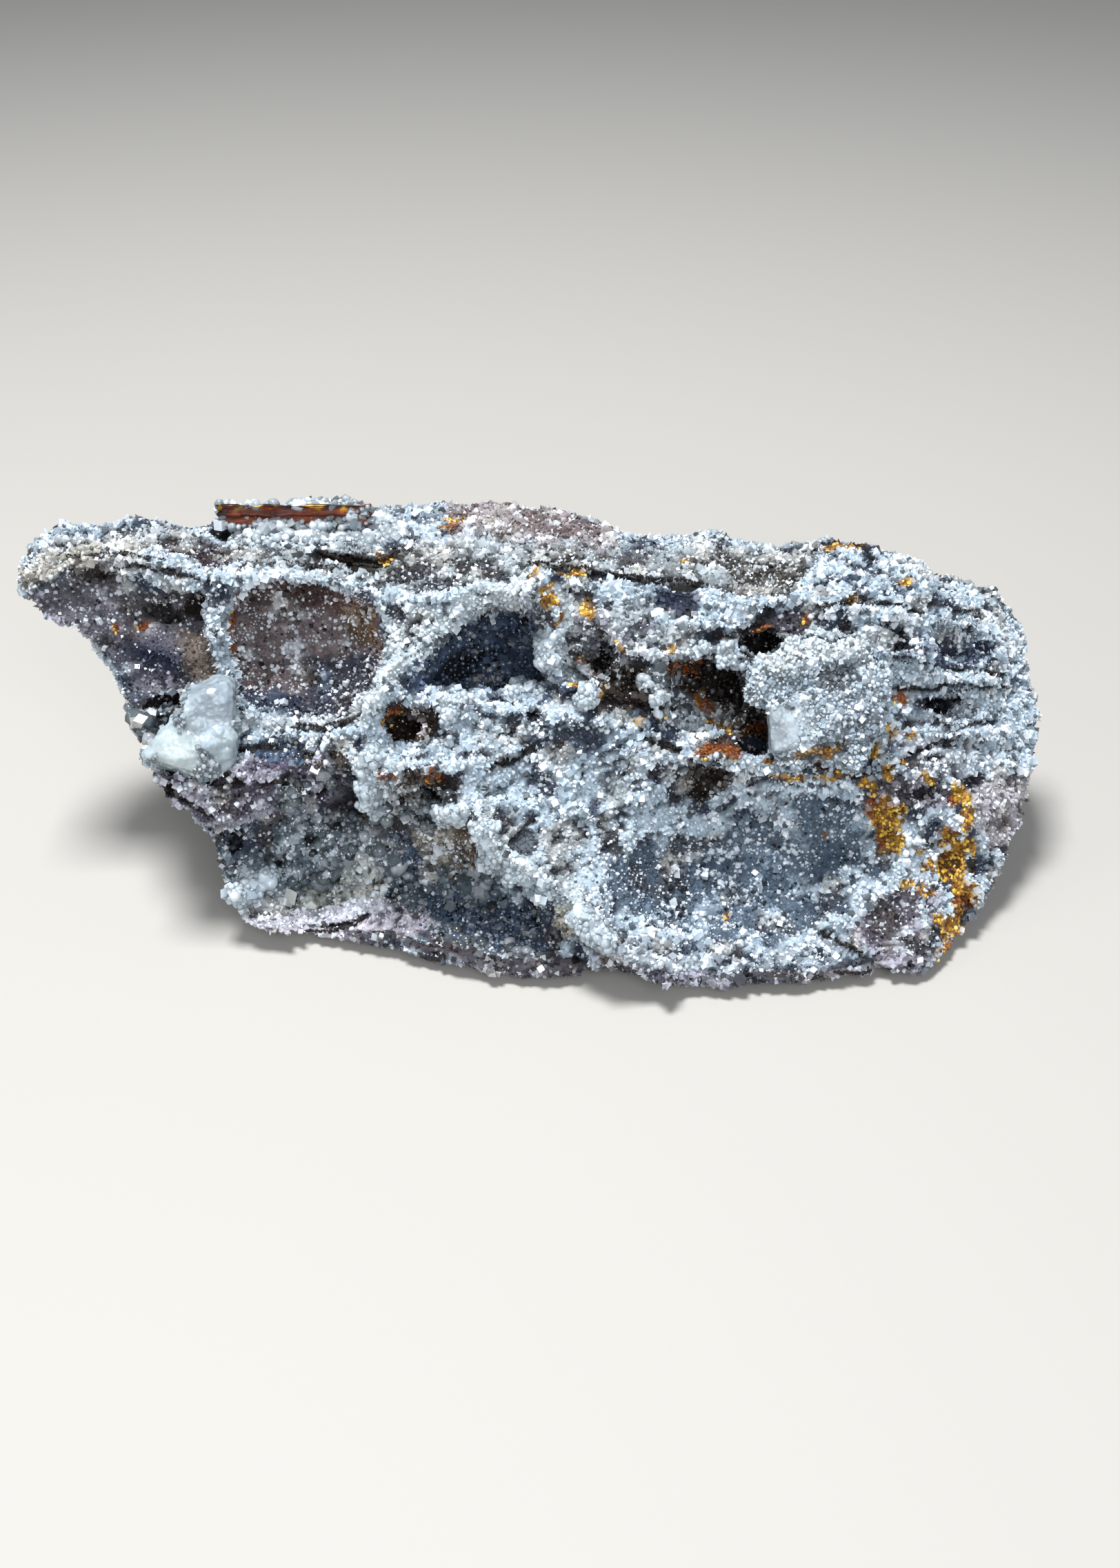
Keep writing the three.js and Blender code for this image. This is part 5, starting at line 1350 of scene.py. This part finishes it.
# The milky fringes. Along the lips of the caves and down the steep ridge the calcite has grown into
# rows of cloudy, glassy beads that run together, from one to three millimetres across.
FRINGES = [
    # drawn line, bead size in millimetres, how far the row's middle stands out
    ([(790, 930), (800, 950), (814, 970)], 2.9, 0.4),
    ([(814, 970), (834, 988), (860, 1008)], 2.5, 1.0),
    ([(814, 884), (806, 910)], 1.9, 0.3),
    ([(942, 986), (950, 1006), (954, 1028)], 1.8, 0.5),
    ([(1010, 944), (1050, 946), (1086, 962), (1108, 990)], 1.5, 0.4),
    ([(736, 1012), (762, 1006), (790, 1016)], 1.9, 0.4),
    ([(648, 1074), (650, 1050), (660, 1024), (680, 1008)], 2.2, 0.5),
    ([(698, 1206), (706, 1234), (732, 1254), (768, 1272), (800, 1290)], 2.3, 0.9),
    ([(824, 1322), (850, 1346), (878, 1366)], 2.4, 0.8),
    ([(530, 1100), (536, 1128), (534, 1156)], 2.4, 0.8),
    ([(350, 1294), (372, 1286), (392, 1272)], 2.8, 0.4),
    ([(536, 1166), (560, 1172)], 1.7, 0.3),
    ([(630, 1170), (654, 1176), (672, 1188)], 2.0, 0.5),
]
FRINGE_VOXEL = 0.32
FRINGE_STEP = 0.36
FRINGE_SCATTER = 1.0


def fringe_tree():
    """Rows of overlapping beads along lines, each point's own size kept in its bead value."""
    tree, given = new_tree("fringe", {
        "Lines": "Geometry", "Step": "Float", "Scatter": "Float", "Seed": "Int",
        "Finish": "Material"}, "Beads")
    curve = add(tree, "GeometryNodeMeshToCurve", {"Mesh": given["Lines"]}).outputs["Curve"]
    spaced = add(tree, "GeometryNodeResampleCurve", {
        "Curve": curve, "Length": given["Step"]}, mode="LENGTH").outputs["Curve"]
    shift = lots(tree, given["Seed"], times(tree, given["Scatter"], -1), given["Scatter"])
    moved = add(tree, "GeometryNodeSetPosition", {"Geometry": spaced, "Offset": shift}).outputs["Geometry"]
    beads = add(tree, "GeometryNodeInstanceOnPoints", {
        "Points": moved, "Instance": ball(tree), "Rotation": lots(tree, 0, (0, 0, 0), (6.2, 6.2, 6.2)),
        "Scale": times(tree, field(tree, "bead"), lot(tree, given["Seed"], 0.4, 0.95))})
    return finish_tree(tree, given, beads.outputs["Instances"], "Beads")


def bead_lines(name, runs):
    """An object of lines to set beads on, from runs of places with their bead sizes in millimetres."""
    places = []
    joins = []
    sizes = []
    for run in runs:
        for k, (place, size) in enumerate(run):
            if k:
                joins.append((len(places) - 1, len(places)))
            places.append(place)
            sizes.append(size * MM)
    mesh = bpy.data.meshes.new(name)
    mesh.from_pydata(places, joins, [])
    write_value(mesh, "bead", np.array(sizes))
    return new_object(name, mesh)


rock_wall = BVHTree.FromObject(rock, bpy.context.evaluated_depsgraph_get())
fringes = bead_lines("milky_fringes", [
    [(seen_on(rock_wall, at_u, at_v, raised), size) for at_u, at_v in line]
    for line, size, raised in FRINGES])
fringe_finish = milky_material("fringe_calcite", 700, 0.3)
grow(fringes, fringe_tree(), {
    "Step": FRINGE_STEP * MM, "Scatter": FRINGE_SCATTER * MM, "Seed": 31, "Finish": fringe_finish})
reskin(fringes, FRINGE_VOXEL)
fringe_points = relax_mesh(fringes.data, 4)
fringe_points = push_out(fringes.data, fringe_points, 0.16 * roughness(fringe_points, 0.8, 33))
keep_in_box(fringes.data)
fringe_tint = tinted((196, 210, 220), len(fringe_points))
fringe_tint *= (1 + 0.22 * roughness(fringe_points, 2.5, 34))[:, None]
write_tint(fringes.data, np.clip(fringe_tint, 0, 1))
smooth(fringes.data)
fringe_dusting = dust(fringes, "milky_fringes_druse", roughness(fringe_points, 2.2, 35) > -0.22,
                      0.3, milk_finish, 0.50, 0.78, 30, 36, 5, 8)
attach(fringe_dusting, "root")
fringes.data.materials.clear()
fringes.data.materials.append(fringe_finish)
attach(fringes, "root")

# The fissures. Thin black films of iron and manganese oxide crumble in the cracks between the layers.
# They follow the cracks at the height of the druse, where no crystal has grown.
FILM_RAISED = 0.34
FILM_STEP = 0.15
FILM_SCATTER = 0.12
# How wide a film's beads are for each half width of its fissure.
FILM_WIDTH = 2.1
# The drawn length of a film between two places where it is laid on the rock, and how far it wavers.
FILM_STRIDE = 9
FILM_WAVE = 6.0
film_runs = []
for line, half, depth in FISSURES:
    for (u0, v0), (u1, v1) in zip(line, line[1:]):
        strides = max(1, round(math.hypot(u1 - u0, v1 - v0) / FILM_STRIDE))
        film_runs.append([])
        for k in range(strides + 1):
            at = np.array([[u0 + (u1 - u0) * k / strides, v0 + (v1 - v0) * k / strides, 0.0]])
            wave = FILM_WAVE * roughness(at / DRAWN_SCALE, 1.3, 71)[0]
            place = seen_on(rock_wall, at[0, 0], at[0, 1] + wave, FILM_RAISED)
            if place is None:
                break
            film_runs[-1].append((place, FILM_WIDTH * half / DRAWN_SCALE))
films = bead_lines("fissure_films", film_runs)


def ramp(tree, value, colours):
    """A colour that a value picks from two or more, each given with its own value."""
    made = add(tree, "ShaderNodeValToRGB", {"Fac": value})
    stops = made.color_ramp.elements
    for k, (at, colour) in enumerate(colours):
        stop = stops[k] if k < 2 else stops.new(at)
        stop.position = at
        stop.color = (*colour, 1)
    return made.outputs["Color"]


film_finish, tree, shader = new_material("black_oxide", Specular_IOR_Level=0.25)
soot = noise(tree, 1800)
dress(tree, shader, ramp(tree, soot, ((0.35, (0.004, 0.004, 0.005)), (0.75, (0.035, 0.022, 0.014)))),
      spread(tree, soot, 0.45, 0.85))
grow(films, fringe_tree(), {
    "Step": FILM_STEP * MM, "Scatter": FILM_SCATTER * MM, "Seed": 72, "Finish": film_finish})
keep_in_box(films.data)
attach(films, "root")

# The iron oxide plate. A slab of thin layers of red-brown and black iron oxide, bedded in the top at
# the left and broken off in steps along its edges. Yellow glints are painted along its upper front rim.
PLATE_VOXEL = 0.2
PLATE_LAYER = 0.42
PLATE_SET_BACK = 2.1
PLATE_FALL = 1.2
plate = copy_of("iron_oxide_plate", "layered_iron_plate")
plate_low, plate_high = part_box("iron_oxide_plate")
reskin(plate, PLATE_VOXEL)
plate_points = relax(read_points(plate.data), read_edges(plate.data), 1)
back_share = (plate_points[:, 1] - plate_low[1] / MM) / (plate_high[1] - plate_low[1]) * MM
plate_points[:, 1] += PLATE_SET_BACK * (1 - back_share)
raised_share = ease(plate_points[:, 2], plate_high[2] / MM - 1.6, plate_high[2] / MM - 0.4)
plate_points[:, 2] -= PLATE_FALL * raised_share * back_share ** 1.5
write_points(plate.data, plate_points)
plate_normals = read_normals(plate.data)
upright = np.abs(plate_normals[:, 2])
level = plate_points[:, 2] / PLATE_LAYER + 0.3 * roughness(plate_points, 3.0, 41)
step = np.floor(level)
step_depth = 0.5 + 0.5 * np.sin(step * 12.9898) * np.cos(step * 4.1414)
seam = 1 - ease(np.abs(level - step - 0.5), 0.30, 0.48)
inset = (1 - ease(upright, 0.4, 0.8)) * (0.55 * step_depth + 0.22 * (1 - seam))
inset += 0.3 * roughness(plate_points, 1.3, 42) + 0.12
plate_points = push_out(plate.data, plate_points, -np.maximum(inset, 0))
plate_tint = tinted((112, 44, 18), len(plate_points))
streaks = roughness(plate_points * [0.25, 0.6, 3.0], 0.8, 43)
blend(plate_tint, ease(streaks, 0.0, 0.3), linear((50, 20, 12)))
blend(plate_tint, ease(-streaks, 0.1, 0.4), linear((158, 78, 34)))
left_end = ease(-plate_points[:, 0], -plate_low[0] / MM - 2.4, -plate_low[0] / MM - 0.4)
dark_top = ease(plate_normals[:, 2], 0.4, 0.8)
blend(plate_tint, np.maximum(0.85 * left_end, 0.85 * dark_top), linear((22, 14, 12)))
# Painted highlight: yellow glints along the upper front rim.
rim_height = ease(plate_points[:, 2], plate_high[2] / MM - 1.3, plate_high[2] / MM - 0.8)
front_edge = ease(-plate_points[:, 1], -plate_low[1] / MM - PLATE_SET_BACK - 1.2,
                  -plate_low[1] / MM - PLATE_SET_BACK - 0.5)
blend(plate_tint, rim_height * front_edge * ease(roughness(plate_points, 0.9, 44), 0.16, 0.3),
      linear((206, 160, 40)))
write_tint(plate.data, plate_tint)
smooth(plate.data)
plate_finish, tree, shader = new_material("iron_oxide")
stretched = add(tree, "ShaderNodeMapping", {"Vector": object_place(tree), "Scale": (0.25, 0.5, 2.0)})
fibre = noise(tree, 1400, 4, stretched.outputs["Vector"])
dress(tree, shader,
      dimmed(tree, stored_value(tree, "tint", "Color"), spread(tree, fibre, 0.45, 1.35, 0.3, 0.7)),
      spread(tree, fibre, 0.35, 0.8), fibre, 0.6, 0.0002)
plate.data.materials.append(plate_finish)
# White crystals have grown over the plate's right end, its foot and its back.
plate_u, plate_v = as_drawn(plate_points)[:2]
covered = ease(plate_u + 14 * roughness(plate_points, 2.2, 45), 488, 520) * ease(plate_v, 734, 742)
covered = np.maximum(covered, ease(plate_v + 12 * roughness(plate_points, 2.0, 46), 754, 760))
covered = np.maximum(covered, ease(back_share + 0.5 * roughness(plate_points, 2.4, 48), 0.55, 0.7))
overgrown = dust(plate, "white_crystals_on_plate", covered > 0.5, 0.35, milk_finish, 0.60, 0.95, 35, 47, 5, 9)
write_tint(overgrown.data, tinted((180, 192, 200), len(overgrown.data.vertices)))
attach(overgrown, "root")
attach(plate, "root")
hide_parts("iron_oxide_plate")

# The limonite. Earthy yellow crumbs about half a millimetre across, grown on the stained ground in
# the joints between the layers, most of it at the lower right.
CRUMB_SPACING = 0.34
CRUMB_SIZE = 0.52
CRUMB_DENSITY = 2.0e7
# From which share of each stain the crumbs grow.
CRUMBS_FROM_YELLOW = 0.42
CRUMBS_FROM_RUST = 0.6


def crumb_tree():
    """Scatters rounded crumbs of uneven width over a skin of stained rock."""
    tree, given = new_tree("limonite", {
        "Skin": "Geometry", "Spacing": "Float", "Size": "Float", "Seed": "Int",
        "Finish": "Material"}, "Crumbs")
    marked, upright = sow(tree, given, CRUMB_DENSITY, 1.0)
    grown = add(tree, "GeometryNodeInstanceOnPoints", {
        "Points": marked, "Instance": ball(tree), "Rotation": upright,
        "Scale": dimmed(tree, lots(tree, 0, (0.5, 0.5, 0.5), (1.4, 1.4, 1.1)), given["Size"])})
    return finish_tree(tree, given, grown.outputs["Instances"], "Crumbs")


crumb_finish, tree, shader = new_material("limonite")
# Painted shade: where the noise is low the crumbs turn dark brown, standing in for the shade in small
# cavities among them.
hollow = spread(tree, noise(tree, 1100), 0.0, 1.0, 0.36, 0.54)
ochre = ramp(tree, times(tree, hollow, stored_value(tree, "shade")), (
    (0.0, (0.07, 0.022, 0.004)), (0.28, (0.28, 0.115, 0.010)),
    (0.58, (0.60, 0.36, 0.03)), (1.0, (0.80, 0.60, 0.20))))
rust_share = spread(tree, stored_value(tree, "rust"), 0.0, 1.0, 0.3, 0.6)
earth = noise(tree, 2600, 4)
dress(tree, shader,
      dimmed(tree, mixed(tree, rust_share, ochre, (0.19, 0.052, 0.004)), spread(tree, earth, 0.6, 1.3)),
      spread(tree, earth, 0.4, 0.85), earth, 0.7, 0.00015)
stained = (yellow[face_vertex] > CRUMBS_FROM_YELLOW) | (rusty[face_vertex] > CRUMBS_FROM_RUST)
crumbs = skin_part(rock.data, "limonite_crumbs", face_front & stained)
grow(crumbs, crumb_tree(), {
    "Spacing": CRUMB_SPACING * MM, "Size": CRUMB_SIZE * MM, "Seed": 51, "Finish": crumb_finish})
keep_in_box(crumbs.data)
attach(crumbs, "root")

# The floor, the lights and the camera. A plain pale table, soft light from above and behind with a
# weaker fill, and the camera straight in front of the leaning display face.
ground = bpy.data.meshes.new("floor")
ground.from_pydata([(-3, -3, 0), (3, -3, 0), (3, 3, 0), (-3, 3, 0)], [], [(0, 1, 2, 3)])
floor = new_object("floor", ground)
floor_finish, tree, shader = new_material("floor", Base_Color=(0.40, 0.385, 0.36, 1), Roughness=0.7)
ground.materials.append(floor_finish)


def add_light(name, at, aim, size, power, colour):
    """A soft square light at a place, turned to face another place."""
    made = bpy.data.lights.new(name, "AREA")
    made.size = size
    made.energy = power
    made.color = colour
    lamp = new_object(name, made)
    lamp.location = at
    lamp.rotation_euler = (Vector(aim) - Vector(at)).to_track_quat("-Z", "Y").to_euler()


add_light("key", (-0.08, 0.0, 0.52), (0.0, 0.0, 0.01), 0.14, 4.6, (0.98, 0.99, 1.0))
add_light("fill", (0.10, -0.46, 0.30), (0.0, 0.0, 0.01), 0.30, 1.9, (0.94, 0.97, 1.0))
add_light("side", (-0.45, -0.25, 0.18), (0.0, 0.0, 0.015), 0.20, 0.6, (1.0, 0.99, 0.97))
world = bpy.data.worlds.new("studio")
world.use_nodes = True
world.node_tree.nodes["Background"].inputs["Color"].default_value = (0.84, 0.92, 1.0, 1)
world.node_tree.nodes["Background"].inputs["Strength"].default_value = 0.26
bpy.context.scene.world = world
bpy.context.scene.view_settings.view_transform = "Standard"

# The focal length is that of the photograph, counted in rows of pixels.
SENSOR_SIZE = 36
FOCAL_ROWS = 2500
PHOTO_ROWS = 2274
lens = bpy.data.cameras.new("camera")
lens.lens = SENSOR_SIZE * FOCAL_ROWS / PHOTO_ROWS
lens.clip_start = 0.01
camera = new_object("camera", lens)
camera.location = eye
camera.rotation_euler = (math.pi / 2 - FACE_LEAN, 0, 0)
bpy.context.scene.camera = camera
